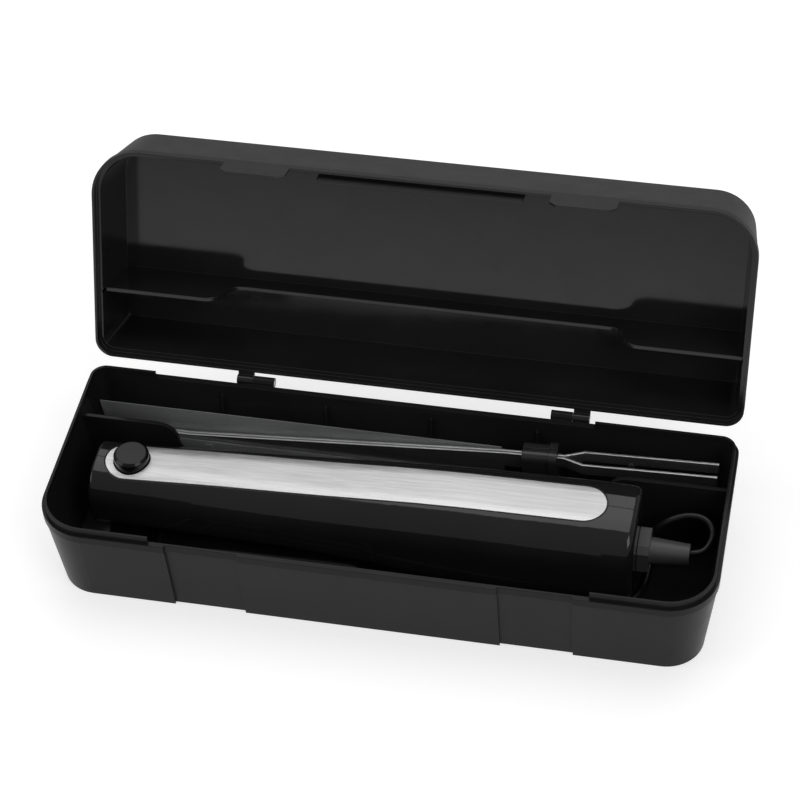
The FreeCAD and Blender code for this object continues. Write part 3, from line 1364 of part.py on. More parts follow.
# Tail over the near runs, then round to the plug under the handle's neck
TAIL_RUN_SHARES = ((0.0, 0.0), (0.45, 0.05), (0.82, 0.05))
TAIL_STEPS = 6
DESCENT_SHARES = (0.33, 0.83)
top_y, top_z = near_run(HANK_LOOPS)
plug_mid = Vec(-d.plug_x, d.plug_y, d.plug_z)
turn_r = (d.plug_y - top_y) / 2
tail_points = []
for along, up in TAIL_RUN_SHARES:
    tail_points.append(Vec(xr - along * d.hank_run, top_y, top_z + up * d.hank_pitch))
for i in range(TAIL_STEPS + 1):
    share = i / TAIL_STEPS
    a = math.pi * share
    down = min(1, max(0, (share - DESCENT_SHARES[0]) / (DESCENT_SHARES[1] - DESCENT_SHARES[0])))
    tail_points.append(Vec(xl - turn_r * math.sin(a), top_y + turn_r * (1 - math.cos(a)),
                           top_z + (d.plug_z - top_z) * down))
tail_points.append(plug_mid - Vec(d.plug_nose / 2, 0, 0))
tail_edges, tail_least = smooth(tail_points)
tail_tube, tail_wire, tail_ratio = tube(tail_edges)
keep(feature("cord_tail", tail_tube), "cord_tail")

GAP_SAMPLES = 900
samples = hank_wire.discretize(Number=GAP_SAMPLES) + tail_wire.discretize(Number=GAP_SAMPLES // 2)[1:]
step = (hank_wire.Length + tail_wire.Length) / (len(samples) - 1)
skip = int(cord_d * 4 / step)
least_gap = far_x
for i, spot in enumerate(samples):
    for other in samples[i + skip:]:
        least_gap = min(least_gap, spot.distanceToPoint(other))
least_turn = (far_run(HANK_LOOPS)[0] - top_y) / 2
print("cord lengths", round(lead_wire.Length), round(hank_wire.Length), round(tail_wire.Length))
print("cord ratios", round(lead_ratio, 4), round(hank_ratio, 4), round(tail_ratio, 4))
print("least radii", round(lead_least, 2), round(least_turn, 2), round(tail_least, 2))
print("hank least self gap", round(least_gap - cord_d, 3))

# Tie round the near runs of the hank
TIE_CORNER_SHARE = 0.6


def tie_wire(grow, x):
    lean = HANK_LOOPS * d.hank_pitch * tub_slope / 2
    half_y = d.cord_radius + lean + grow
    half_z = HANK_LOOPS * d.hank_pitch / 2 + d.cord_radius + grow
    wire = rounded_wire(half_z, half_y, half_y * TIE_CORNER_SHARE, 0)
    wire.rotate(Vec(), Vec(0, 1, 0), 90)
    wire.translate(Vec(x, (near_y + top_y) / 2, (d.hank_z + top_z) / 2))
    return wire


tie_x = -d.tie_x - d.tie_width / 2
tie = Part.Face(tie_wire(gap + d.tie_thick, tie_x)).extrude(Vec(d.tie_width, 0, 0))
tie = tie.cut(Part.Face(tie_wire(gap, tie_x - over)).extrude(Vec(d.tie_width + 2 * over, 0, 0)))
keep(feature("cord_tie", tie), "cord_tie")

# Plug with two flat prongs, made along +X
PLUG_TAPER_SHARE = 0.5
PLUG_SHOULDER_SHARE = 0.55
NOSE_FOOT_SHARE = 0.85
NOSE_TIP_SHARE = 0.62
PRONG_ROOT_SHARE = 0.8
pw = d.plug_width / 2
pt = d.plug_thick / 2
shoulder = d.plug_length * PLUG_SHOULDER_SHARE
taper = pw * PLUG_TAPER_SHARE
plug_plan = ((0, -taper), (shoulder, -pw), (d.plug_length, -pw),
             (d.plug_length, pw), (shoulder, pw), (0, taper))
plug = extrude([Vec(x, y, -pt) for x, y in plug_plan], Vec(0, 0, d.plug_thick))
level_edges = [e for e in plug.Edges if e.BoundBox.ZLength < d.fit_gap and e.BoundBox.XLength > root]
plug = plug.makeFillet(2 * root, level_edges)
plug = plug.fuse(Part.makeCone(pt * NOSE_TIP_SHARE, pt * NOSE_FOOT_SHARE, d.plug_nose + root,
                               Vec(-d.plug_nose, 0, 0), Vec(1, 0, 0)))
plug = plug.cut(cylinder(d.cord_radius + d.fit_gap, Vec(-d.plug_nose * 2, 0, 0), Vec(0, 0, 0)))
prongs = []
for side in (-1, 1):
    y = side * d.prong_spacing / 2
    half_y = d.prong_thick / 2
    half_z = d.prong_wide / 2
    x0 = d.plug_length * PRONG_ROOT_SHARE
    x1 = d.plug_length + d.prong_length
    slot_y = half_y + d.fit_gap
    slot_z = half_z + d.fit_gap
    plug = plug.cut(block(x0, x1, y - slot_y, y + slot_y, -slot_z, slot_z))
    prong = block(x0, x1, y - half_y, y + half_y, -half_z, half_z)
    tip = [e for e in prong.Edges if e.BoundBox.XMin > x1 - root and e.BoundBox.ZLength < root]
    prongs.append(prong.makeFillet(root, tip))
for shape, name in ((plug.removeSplitter(), "plug_body"), (Part.makeCompound(prongs), "plug_pins")):
    obj = keep(feature(name, shape), name)
    obj.Placement = FreeCAD.Placement(plug_mid, FreeCAD.Rotation())

# Blades, made level and then pitched
blade_turn = FreeCAD.Rotation(Vec(0, 1, 0), -d.blade_pitch)
blade_place = FreeCAD.Placement(Vec(d.blade_heel, d.blade_y, d.blade_z), blade_turn)
BL = d.blade_length
SPINE_SHARES = ((0.0, 0.0), (0.81, 0.039), (0.935, 0.064), (1.0, 0.124))
EDGE_SHARES = ((0.040, 0.0), (0.945, 0.011))
g = d.blade_gap / 2
thick = d.blade_thick
neck_end = d.collar_start - d.fit_gap


def pt_at(share, z):
    return Vec(-share * BL, 0, z)


edge_a = pt_at(EDGE_SHARES[0][0], -d.blade_depth)
edge_b = pt_at(EDGE_SHARES[1][0], -d.blade_depth - EDGE_SHARES[1][1] * BL)
spine = [pt_at(s, -z * BL) for s, z in SPINE_SHARES]
blade_edges = [Part.LineSegment(spine[0], spine[1]).toShape(),
               Part.Arc(spine[1], spine[2], spine[3]).toShape(),
               Part.LineSegment(spine[3], edge_b).toShape()]
count = int(d.blade_teeth)
for i in range(count):
    a = edge_b + (edge_a - edge_b) * (i / count)
    b = edge_b + (edge_a - edge_b) * ((i + 1) / count)
    blade_edges.append(Part.Arc(a, (a + b) * 0.5 + Vec(0, 0, d.tooth_deep), b).toShape())
corner = [edge_a, Vec(0, 0, -d.blade_depth), Vec(0, 0, -d.neck_tall), Vec(neck_end, 0, -d.neck_tall),
          Vec(neck_end, 0, 0), spine[0]]
for a, b in zip(corner, corner[1:]):
    blade_edges.append(Part.LineSegment(a, b).toShape())
blade_face = Part.Face(Part.Wire(blade_edges))
rivet_z = -(SPINE_SHARES[1][1] * d.rivet_back / SPINE_SHARES[1][0] + d.blade_depth) / 2
inner_y = d.tang_spread / 2 - thick / 2
for side, name in ((-1, "near"), (1, "far")):
    blade = blade_face.extrude(Vec(0, side * thick, 0))
    blade.translate(Vec(0, side * g, 0))
    x_in = neck_end - root
    ease = thick / 3
    outer_y = inner_y + thick
    tang_plan = ((x_in, g), (d.tang_flare_start + ease, g), (d.tang_flare_end, inner_y),
                 (d.tang_length, inner_y), (d.tang_length, outer_y), (d.tang_flare_end - ease, outer_y),
                 (d.tang_flare_start, g + thick), (x_in, g + thick))
    tang = extrude([Vec(x, side * y, 0) for x, y in tang_plan], Vec(0, 0, -d.tang_tall))
    bead = cylinder(d.tang_bead, Vec(d.tang_length, side * (inner_y + thick / 2), -d.tang_tall),
                    Vec(d.tang_length, side * (inner_y + thick / 2), 0))
    blade = blade.fuse([tang, bead]).removeSplitter()
    hole_r = d.rivet_radius + d.fit_gap
    y_far = Vec(0, side * far_x, 0)
    centre = Vec(-d.rivet_back, 0, rivet_z)
    if side < 0:
        blade = blade.cut(cylinder(hole_r, centre, centre + y_far))
    else:
        a = centre - Vec(d.slide_ahead, 0, 0)
        b = centre + Vec(d.slide_back, 0, 0)
        blade = blade.cut([cylinder(hole_r, a, a + y_far), cylinder(hole_r, b, b + y_far),
                           block(a.x, b.x, 0, far_x, rivet_z - hole_r, rivet_z + hole_r)])
    obj = keep(feature("blade_" + name, blade), "blade_" + name)
    obj.Placement = blade_place

    y0, y1 = sorted((side * g, side * (g + d.collar_deep)))
    f0, f1 = sorted((side * g, side * (g + d.collar_deep + d.collar_step)))
    z0 = collar_over - d.collar_tall
    z1 = collar_over
    x0 = d.collar_start
    x1 = x0 + d.collar_body
    x2 = x1 + d.collar_flange
    grip = block(x0, x1, y0, y1, z0, z1)
    flange = block(x1, x2, f0, f1, z0 - d.collar_step, z1 + d.collar_step)

    def outer_edges(shape, length):
        found = []
        for e in shape.Edges:
            if abs(e.Length - length) < d.fit_gap and abs(abs(e.CenterOfMass.y) - g) > root:
                if e.BoundBox.XLength > root:
                    found.append(e)
        return found

    grip = grip.makeFillet(d.collar_round, outer_edges(grip, d.collar_body))
    flange = flange.makeFillet(d.collar_round, outer_edges(flange, d.collar_flange))
    s0, s1 = sorted((0, side * (g + thick + d.fit_gap)))
    collar = grip.fuse(flange).cut(block(x0 - over, x2 + over, s0, s1, -d.tang_tall - d.fit_gap, d.fit_gap))
    obj = keep(feature("collar_" + name, collar.removeSplitter()), "collar_" + name)
    obj.Placement = blade_place

reach = g + thick
pin = cylinder(d.rivet_radius, Vec(-d.rivet_back, -reach - d.rivet_head_thick, rivet_z),
               Vec(-d.rivet_back, reach + d.rivet_head_thick, rivet_z))
for side in (-1, 1):
    a = Vec(-d.rivet_back, side * (reach + d.fit_gap), rivet_z)
    pin = pin.fuse(cylinder(d.rivet_head, a, a + Vec(0, side * d.rivet_head_thick, 0)))
obj = keep(feature("blade_rivet", pin.removeSplitter()), "blade_rivet")
obj.Placement = blade_place

# Clear folded sleeve behind the blades
film = d.sleeve_film
sleeve_foot = d.floor_thick + gap
half_room = reach + d.rivet_head_thick + gap + d.fit_gap
y_back = d.blade_y + half_room
y_front = d.blade_y - half_room - film


def leaf(y, top):
    left_top = -d.sleeve_left - tub_slope * (top - sleeve_foot)
    corners = ((-d.sleeve_left, sleeve_foot), (d.sleeve_right, sleeve_foot),
               (d.sleeve_right, top), (left_top, top))
    return extrude([Vec(x, y, z) for x, z in corners], Vec(0, film, 0))


fold = block(-d.sleeve_left, d.sleeve_right, y_front, y_back + film, sleeve_foot, sleeve_foot + film)
sleeve = fold.fuse([leaf(y_back, d.sleeve_top), leaf(y_front, d.sleeve_front_top)]).removeSplitter()
keep(feature("blade_sleeve", sleeve), "blade_sleeve")

# Check and export
doc.recompute()
for obj in doc.Objects:
    bad = [word for word in obj.State if word in ("Invalid", "Error")]
    if bad:
        raise RuntimeError("%s is %s" % (obj.Label, bad))
os.makedirs("parts", exist_ok=True)
total = 0
for label, obj in nodes.items():
    shape = obj.Shape
    if shape.isNull() or not shape.isValid() or not shape.Solids:
        raise RuntimeError("bad shape " + label)
    shape.exportStep("parts/%s.step" % label)
    total += len(shape.Solids)
print("nodes", len(nodes), "solids", total)
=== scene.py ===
import json
import math

import bpy
from mathutils import Matrix, Vector


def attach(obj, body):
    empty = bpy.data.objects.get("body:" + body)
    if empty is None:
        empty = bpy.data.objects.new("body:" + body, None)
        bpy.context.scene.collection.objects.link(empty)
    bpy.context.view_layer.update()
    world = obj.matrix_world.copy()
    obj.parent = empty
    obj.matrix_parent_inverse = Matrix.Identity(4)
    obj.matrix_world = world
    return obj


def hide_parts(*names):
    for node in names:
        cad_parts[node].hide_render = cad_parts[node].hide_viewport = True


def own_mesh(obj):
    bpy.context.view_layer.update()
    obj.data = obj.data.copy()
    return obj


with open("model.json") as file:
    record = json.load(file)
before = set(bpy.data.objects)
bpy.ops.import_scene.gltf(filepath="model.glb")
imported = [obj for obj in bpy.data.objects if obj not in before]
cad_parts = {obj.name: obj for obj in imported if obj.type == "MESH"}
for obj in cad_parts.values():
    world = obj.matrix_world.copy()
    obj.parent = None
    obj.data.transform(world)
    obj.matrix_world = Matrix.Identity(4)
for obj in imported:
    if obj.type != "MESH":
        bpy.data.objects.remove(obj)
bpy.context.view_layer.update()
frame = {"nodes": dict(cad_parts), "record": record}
nodes = frame["nodes"]
MM = 0.001

# Node helpers
EDGE_SAMPLES = 6


def new_material(name):
    """An empty node material with its shader and its object coordinates."""
    material = bpy.data.materials.new(name)
    material.use_nodes = True
    tree = material.node_tree
    shader = tree.nodes["Principled BSDF"]
    coords = tree.nodes.new("ShaderNodeTexCoord").outputs["Object"]
    return material, tree, shader, coords


def stretched(tree, coords, scale):
    """Coordinates scaled by axis, in features per metre."""
    mapping = tree.nodes.new("ShaderNodeMapping")
    mapping.inputs["Scale"].default_value = scale
    tree.links.new(coords, mapping.inputs["Vector"])
    return mapping.outputs["Vector"]


def noise(tree, vector, scale, detail=3.0, roughness=0.5):
    """A noise value between 0 and 1."""
    node = tree.nodes.new("ShaderNodeTexNoise")
    node.inputs["Scale"].default_value = scale
    node.inputs["Detail"].default_value = detail
    node.inputs["Roughness"].default_value = roughness
    tree.links.new(vector, node.inputs["Vector"])
    return node.outputs["Fac"]


def spread(tree, value, low, high, start=0.3, end=0.7):
    """Remap a noise value to a range."""
    node = tree.nodes.new("ShaderNodeMapRange")
    node.inputs["From Min"].default_value = start
    node.inputs["From Max"].default_value = end
    node.inputs["To Min"].default_value = low
    node.inputs["To Max"].default_value = high
    tree.links.new(value, node.inputs["Value"])
    return node.outputs["Result"]


def shades(tree, value, dark, light, start=0.3, end=0.7):
    """Colour between two shades by a noise value."""
    ramp = tree.nodes.new("ShaderNodeValToRGB")
    ramp.color_ramp.elements[0].position = start
    ramp.color_ramp.elements[0].color = (*dark, 1)
    ramp.color_ramp.elements[1].position = end
    ramp.color_ramp.elements[1].color = (*light, 1)
    tree.links.new(value, ramp.inputs["Fac"])
    return ramp.outputs["Color"]


def bump(tree, shader, height, strength, depth, edge=0.0):
    """Fine relief, over edges that are eased by a radius in metres."""
    node = tree.nodes.new("ShaderNodeBump")
    node.inputs["Strength"].default_value = strength
    node.inputs["Distance"].default_value = depth
    tree.links.new(height, node.inputs["Height"])
    tree.links.new(node.outputs["Normal"], shader.inputs["Normal"])
    if edge:
        eased = tree.nodes.new("ShaderNodeBevel")
        eased.samples = EDGE_SAMPLES
        eased.inputs["Radius"].default_value = edge
        tree.links.new(eased.outputs["Normal"], node.inputs["Normal"])


# Materials
DRIFT_SCALE, DRIFT_DETAIL = 28, 4
HAZE_SCALE, HAZE_DETAIL, HAZE_ROUGHNESS = 95, 6, 0.62
GRAIN_DETAIL = 3
MOULD_STRENGTH = 0.25
BRUSH_DETAIL, BRUSH_ROUGHNESS, BRUSH_STRENGTH = 5, 0.65, 0.35
MOTTLE_DETAIL, MOTTLE_STRENGTH, MOTTLE_DEPTH = 5, 0.1, 0.05 * MM
CLOUD_SCALE, CLOUD_DETAIL = (18, 60, 60), 4
CLOUD_ROUGH = (0.12, 0.3)
CREASE_STRENGTH, CREASE_DEPTH = 0.3, 0.4 * MM
TURN_SCALE, TURN_DETAIL = (2200, 300, 300), 2
TURN_ROUGH = (0.25, 0.45)
TURN_STRENGTH, TURN_DEPTH = 0.6, 0.2 * MM
ENAMEL_METALLIC = 0.8
CASE_DARK, CASE_LIGHT = (0.011, 0.011, 0.0113), (0.015, 0.015, 0.0154)
CASE_GLOSS = (0.09, 0.15)
CASE_GRAIN, CASE_DEPTH, CASE_EDGE = 2600, 0.02 * MM, 0.4 * MM
SATIN_FADE = 2.0 * MM


def moulded_plastic(name, dark, light, rough, grain, depth, specular=0.5, edge=0.0):
    """Moulded plastic: faint colour drift, handling haze in the gloss and a fine mould texture."""
    material, tree, shader, coords = new_material(name)
    drift = noise(tree, coords, DRIFT_SCALE, DRIFT_DETAIL)
    tree.links.new(shades(tree, drift, dark, light), shader.inputs["Base Color"])
    haze = noise(tree, coords, HAZE_SCALE, HAZE_DETAIL, HAZE_ROUGHNESS)
    tree.links.new(spread(tree, haze, rough[0], rough[1]), shader.inputs["Roughness"])
    bump(tree, shader, noise(tree, coords, grain, GRAIN_DETAIL), MOULD_STRENGTH, depth, edge)
    shader.inputs["Specular IOR Level"].default_value = specular
    return material


def brushed_metal(name, dark, light, rough, along, across, depth, edge=0.0):
    """Metal with a straight grain along X."""
    material, tree, shader, coords = new_material(name)
    lines = stretched(tree, coords, (along, across, across))
    grain = noise(tree, lines, 1, BRUSH_DETAIL, BRUSH_ROUGHNESS)
    tree.links.new(shades(tree, grain, dark, light), shader.inputs["Base Color"])
    tree.links.new(spread(tree, grain, rough[0], rough[1]), shader.inputs["Roughness"])
    bump(tree, shader, grain, BRUSH_STRENGTH, depth, edge)
    shader.inputs["Metallic"].default_value = 1.0
    return material


def plain_metal(name, dark, light, rough, scale):
    """Turned or pressed metal with a faint mottled finish."""
    material, tree, shader, coords = new_material(name)
    mottle = noise(tree, coords, scale, MOTTLE_DETAIL)
    tree.links.new(shades(tree, mottle, dark, light), shader.inputs["Base Color"])
    tree.links.new(spread(tree, mottle, rough[0], rough[1]), shader.inputs["Roughness"])
    bump(tree, shader, mottle, MOTTLE_STRENGTH, MOTTLE_DEPTH)
    shader.inputs["Metallic"].default_value = 1.0
    return material


def clear_film(name, dark, light, alpha):
    """Thin milky film, creased lightly."""
    material, tree, shader, coords = new_material(name)
    cloud = noise(tree, stretched(tree, coords, CLOUD_SCALE), 1, CLOUD_DETAIL)
    tree.links.new(shades(tree, cloud, dark, light), shader.inputs["Base Color"])
    tree.links.new(spread(tree, cloud, *CLOUD_ROUGH), shader.inputs["Roughness"])
    bump(tree, shader, cloud, CREASE_STRENGTH, CREASE_DEPTH)
    shader.inputs["Alpha"].default_value = alpha
    return material


def wound_wire(name, dark, light):
    """Enamelled wire: fine turns side by side."""
    material, tree, shader, coords = new_material(name)
    turns = noise(tree, stretched(tree, coords, TURN_SCALE), 1, TURN_DETAIL)
    tree.links.new(shades(tree, turns, dark, light), shader.inputs["Base Color"])
    tree.links.new(spread(tree, turns, *TURN_ROUGH), shader.inputs["Roughness"])
    bump(tree, shader, turns, TURN_STRENGTH, TURN_DEPTH)
    shader.inputs["Metallic"].default_value = ENAMEL_METALLIC
    return material


def case_plastic(name, middle, reach, satin_step, specular):
    """Moulded plastic, polished inside the case and satin on the walls that face away from the middle."""
    material, tree, shader, coords = new_material(name)
    drift = noise(tree, coords, DRIFT_SCALE, DRIFT_DETAIL)
    tree.links.new(shades(tree, drift, CASE_DARK, CASE_LIGHT), shader.inputs["Base Color"])
    away = tree.nodes.new("ShaderNodeVectorMath")
    away.operation = "SUBTRACT"
    away.inputs[1].default_value = middle
    tree.links.new(coords, away.inputs[0])
    facing = tree.nodes.new("ShaderNodeVectorMath")
    facing.operation = "DOT_PRODUCT"
    tree.links.new(away.outputs["Vector"], facing.inputs[0])
    tree.links.new(coords.node.outputs["Normal"], facing.inputs[1])
    satin = spread(tree, facing.outputs["Value"], 0.0, satin_step, reach - SATIN_FADE, reach)
    gloss = spread(tree, noise(tree, coords, HAZE_SCALE, HAZE_DETAIL, HAZE_ROUGHNESS), *CASE_GLOSS)
    total = tree.nodes.new("ShaderNodeMath")
    total.operation = "ADD"
    tree.links.new(satin, total.inputs[0])
    tree.links.new(gloss, total.inputs[1])
    tree.links.new(total.outputs["Value"], shader.inputs["Roughness"])
    grain = noise(tree, coords, CASE_GRAIN, GRAIN_DETAIL)
    bump(tree, shader, grain, MOULD_STRENGTH, CASE_DEPTH, CASE_EDGE)
    shader.inputs["Specular IOR Level"].default_value = specular
    return material


TUB = case_plastic("case_plastic", (0.0, 0.0, 0.045), 0.035, 0.24, 0.12)
LID = case_plastic("case_plastic_lid", (0.0, 0.0792, 0.1024), 0.030, 0.52, 0.42)
SHELL = moulded_plastic(
    "housing_plastic", (0.0105, 0.0105, 0.0108), (0.0135, 0.0135, 0.0138), (0.05, 0.09), 900,
    0.008 * MM, 0.42, 0.5 * MM)
BUTTON = moulded_plastic(
    "button_plastic", (0.004, 0.004, 0.0042), (0.006, 0.006, 0.0062), (0.15, 0.22), 3200,
    0.01 * MM, 0.25, 0.7 * MM)
COLLAR = moulded_plastic(
    "collar_plastic", (0.015, 0.015, 0.0155), (0.021, 0.021, 0.0215), (0.20, 0.30), 2600,
    0.02 * MM, 0.5, 0.4 * MM)
RUBBER = moulded_plastic(
    "cord_rubber", (0.005, 0.005, 0.0052), (0.008, 0.008, 0.0082), (0.26, 0.36), 3000,
    0.02 * MM, 0.4, 0.3 * MM)
BOOT = moulded_plastic(
    "boot_rubber", (0.055, 0.055, 0.0555), (0.075, 0.075, 0.0755), (0.40, 0.52), 3000,
    0.03 * MM, 0.5, 0.3 * MM)
INNER = moulded_plastic(
    "inner_plastic", (0.52, 0.51, 0.48), (0.62, 0.61, 0.58), (0.40, 0.55), 2400, 0.04 * MM)
CARBON = moulded_plastic(
    "brush_carbon", (0.020, 0.020, 0.020), (0.045, 0.045, 0.045), (0.55, 0.75), 3600, 0.05 * MM)
TRIM = brushed_metal(
    "trim_metal", (0.62, 0.62, 0.62), (0.88, 0.88, 0.88), (0.46, 0.60), 20, 1000,
    0.03 * MM, 0.3 * MM)
BLADE = brushed_metal(
    "blade_steel", (0.72, 0.72, 0.73), (0.90, 0.90, 0.91), (0.28, 0.40), 18, 2600,
    0.03 * MM, 0.6 * MM)
STEEL = plain_metal("machine_steel", (0.45, 0.45, 0.47), (0.60, 0.60, 0.62), (0.22, 0.36), 700)
BRASS = plain_metal("contact_brass", (0.60, 0.44, 0.20), (0.76, 0.58, 0.30), (0.20, 0.32), 700)
IRON = plain_metal("lamination_iron", (0.12, 0.12, 0.13), (0.22, 0.22, 0.23), (0.45, 0.60), 900)
COPPER = wound_wire("winding_copper", (0.36, 0.13, 0.06), (0.66, 0.30, 0.15))
FILM = clear_film("sleeve_film", (0.29, 0.296, 0.296), (0.50, 0.51, 0.51), 0.36)

FINISHES = {
    "case_plastic": TUB, "housing_plastic": SHELL, "trim_metal": TRIM, "button_plastic": BUTTON,
    "blade_steel": BLADE, "collar_plastic": COLLAR, "sleeve_film": FILM, "cord_rubber": RUBBER,
    "contact_brass": BRASS, "machine_steel": STEEL, "lamination_iron": IRON,
    "winding_copper": COPPER, "inner_plastic": INNER, "brush_carbon": CARBON}
for row in frame["record"]["subparts"]:
    obj = nodes[row["node"]]
    obj.data.materials.clear()
    obj.data.materials.append(FINISHES[row["material_slot"]])
nodes["cord_boot"].data.materials[0] = BOOT

# Case with the photographed corners
OUTER_CORNER = 24.0 * MM
HINGE_CORNER = 9.0 * MM
CORNER_X = 138.5 * MM
CORNER_Y = 31.5 * MM
RUN_SHARE = 0.08
RIB_PLACE = 25.0 * MM
RIB_HALF = 1.05 * MM
RIB_SHIFT = 2.9 * MM
RIB_LIFT = 5.0 * MM
RIB_SPREAD = 7.0 * MM
RIB_EDGE = 75.0 * MM
WALL_FOOT = 155.0 * MM
RIB_END = (158.97 * MM, 55.3 * MM)
SHOULDER = 51.0 * MM
RIB_FACE = 0.9
HINGE = Vector((0.0, 59.3 * MM, 46.6 * MM))
LID_SWING = math.radians(109.65)


def tightened(x, y):
    """New place of a point in a hinge-side corner, and the turn of its surface."""
    u, v = abs(x) - CORNER_X, y - CORNER_Y
    if u <= 0 or v <= 0:
        return x, y, 0.0
    side = math.copysign(1.0, x)
    inset = OUTER_CORNER - math.hypot(u, v)
    angle = math.atan2(v, u)
    share = angle / (math.pi / 2)
    spare = OUTER_CORNER - HINGE_CORNER
    radius = HINGE_CORNER - inset
    wall = OUTER_CORNER - inset
    if share < RUN_SHARE:
        turned, u, v = 0.0, wall, spare * share / RUN_SHARE
    elif share > 1 - RUN_SHARE:
        turned, u, v = math.pi / 2, spare * (1 - share) / RUN_SHARE, wall
    else:
        turned = math.pi / 2 * (share - RUN_SHARE) / (1 - 2 * RUN_SHARE)
        u, v = spare + radius * math.cos(turned), spare + radius * math.sin(turned)
    return side * (CORNER_X + u), CORNER_Y + v, side * (turned - angle)


def moved_rib(x, y, z, facing):
    """The lid's rib a little further from the hinges, shallower, and with its steps further out."""
    if z < RIB_EDGE and abs(x) < WALL_FOOT:
        return x + math.copysign(RIB_SPREAD, x), y - RIB_SHIFT, z + RIB_LIFT
    if z < SHOULDER or (z < RIB_EDGE and abs(facing) > RIB_FACE):
        return math.copysign(RIB_END[0], x), y - RIB_SHIFT, RIB_END[1]
    return x, y - RIB_SHIFT, z


def case_piece(name, node, body, material, flat, rib_moves):
    """A case half made from its node's mesh, with tighter corners at the hinges."""
    mesh = nodes[node].data.copy()
    mesh.name = name
    back = flat.inverted()
    normals = [corner.vector.copy() for corner in mesh.corner_normals]
    flat_turn, back_turn = flat.to_3x3(), back.to_3x3()
    facing = {loop.vertex_index: (flat_turn @ normals[loop.index]).y for loop in mesh.loops}
    turns = []
    for vertex in mesh.vertices:
        point = flat @ vertex.co
        x, y, turn = tightened(point.x, point.y)
        z = point.z
        if rib_moves and abs(y - RIB_PLACE) < RIB_HALF:
            x, y, z = moved_rib(x, y, z, facing[vertex.index])
        turns.append(turn)
        vertex.co = back @ Vector((x, y, z))
    for loop in mesh.loops:
        turn = turns[loop.vertex_index]
        if turn:
            spin = Matrix.Rotation(turn, 3, "Z")
            normals[loop.index] = back_turn @ spin @ flat_turn @ normals[loop.index]
    mesh.update()
    mesh.normals_split_custom_set(normals)
    mesh.materials.clear()
    mesh.materials.append(material)
    piece = bpy.data.objects.new(name, mesh)
    bpy.context.scene.collection.objects.link(piece)
    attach(piece, body)
    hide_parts(node)


swing = Matrix.Rotation(LID_SWING, 4, "X")
shut = Matrix.Translation(HINGE) @ swing @ Matrix.Translation(-HINGE)
case_piece("tub_shell", "case_tub", "case", TUB, Matrix.Identity(4), False)
case_piece("lid_shell", "case_lid", "lid", LID, shut, True)


def pressed_spring(name, node):
    """A coil spring copied from its node's mesh and carried by the case."""
    piece = bpy.data.objects.new(name, nodes[node].data.copy())
    bpy.context.scene.collection.objects.link(piece)
    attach(piece, "case")
    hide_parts(node)
    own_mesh(piece)


pressed_spring("press_coil", "button_spring")
pressed_spring("release_coil", "release_spring")

# Mains cord
CORD_RADIUS = 1.7 * MM
LEAD_POINTS = (
    (133.15, -1.0, 25.0), (149.3, -1.0, 25.2), (154.6, 4.3, 27.6), (155.4, 11.8, 31.1),
    (149.9, 16.4, 33.3), (141.3, 16.8, 33.0), (132.8, 13.8, 30.6), (126.9, 12.0, 25.4),
    (125.9, 11.7, 17.3), (125.6, 11.8, 10.0), (126.0, 6.2, 5.6), (125.4, -4.6, 4.5),
    (122.4, -13.6, 4.5), (115.6, -22.0, 4.5), (105.5, -30.4, 4.5), (89.5, -39.5, 4.5),
    (61.9, -41.6, 4.5), (32.3, -42.7, 4.5), (4.3, -43.8, 5.05), (-9.8, -43.8, 5.6))
TAIL_POINTS = (
    (-46.6, -44.7, 14.0), (-71.8, -44.7, 14.0), (-84.0, -44.7, 13.8), (-98.2, -40.9, 13.8),
    (-108.6, -30.5, 13.8), (-112.4, -16.4, 11.7), (-108.6, -2.2, 9.6), (-98.2, 8.2, 7.5),
    (-84.0, 12.0, 7.5), (-75.0, 12.0, 7.5))
HANK_LEFT = -84.0
HANK_RIGHT = -16.0
NEAR_RUNS = (-43.8, -44.27, -44.73)
FAR_RUNS = (-19.1, -21.7, -24.3)
HANK_LAYERS = (5.6, 9.7, 13.8)
TURN_STEPS = 6
SPLINE_ORDER, SPLINE_STEPS, TUBE_STEPS = 3, 6, 5


def half_turn(x, side, y_from, y_to, z):
    """Control points round one end of the hank."""
    middle = (y_from + y_to) / 2
    radius = (y_from - y_to) / 2
    points = []
    for i in range(TURN_STEPS + 1):
        angle = math.pi * i / TURN_STEPS
        reach = abs(radius) * math.sin(angle)
        points.append((x + side * reach, middle + radius * math.cos(angle), z))
    return points


def hank_points():
    """Two loops, each climbing from one layer to the next at its right-hand end."""
    points = []
    for low in range(len(HANK_LAYERS) - 1):
        high = low + 1
        points += half_turn(HANK_LEFT, -1, NEAR_RUNS[low], FAR_RUNS[low], HANK_LAYERS[low])
        points += half_turn(HANK_RIGHT, 1, FAR_RUNS[high], NEAR_RUNS[high], HANK_LAYERS[high])
    return points


def smooth_curve(name, points, radius, material):
    """A round tube on one smooth open spline."""
    curve = bpy.data.curves.new(name, "CURVE")
    curve.dimensions = "3D"
    spline = curve.splines.new("NURBS")
    spline.points.add(len(points) - 1)
    for control, point in zip(spline.points, points):
        control.co = (*(MM * value for value in point), 1)
    spline.order_u = SPLINE_ORDER
    spline.use_endpoint_u = True
    spline.resolution_u = SPLINE_STEPS
    curve.bevel_depth = radius
    curve.bevel_resolution = TUBE_STEPS
    curve.use_fill_caps = True
    curve.materials.append(material)
    piece = bpy.data.objects.new(name, curve)
    bpy.context.scene.collection.objects.link(piece)
    return piece


cord = smooth_curve("mains_cord", [*LEAD_POINTS, *hank_points(), *TAIL_POINTS], CORD_RADIUS, RUBBER)
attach(cord, "case")
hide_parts("cord_lead", "cord_hank", "cord_tail")

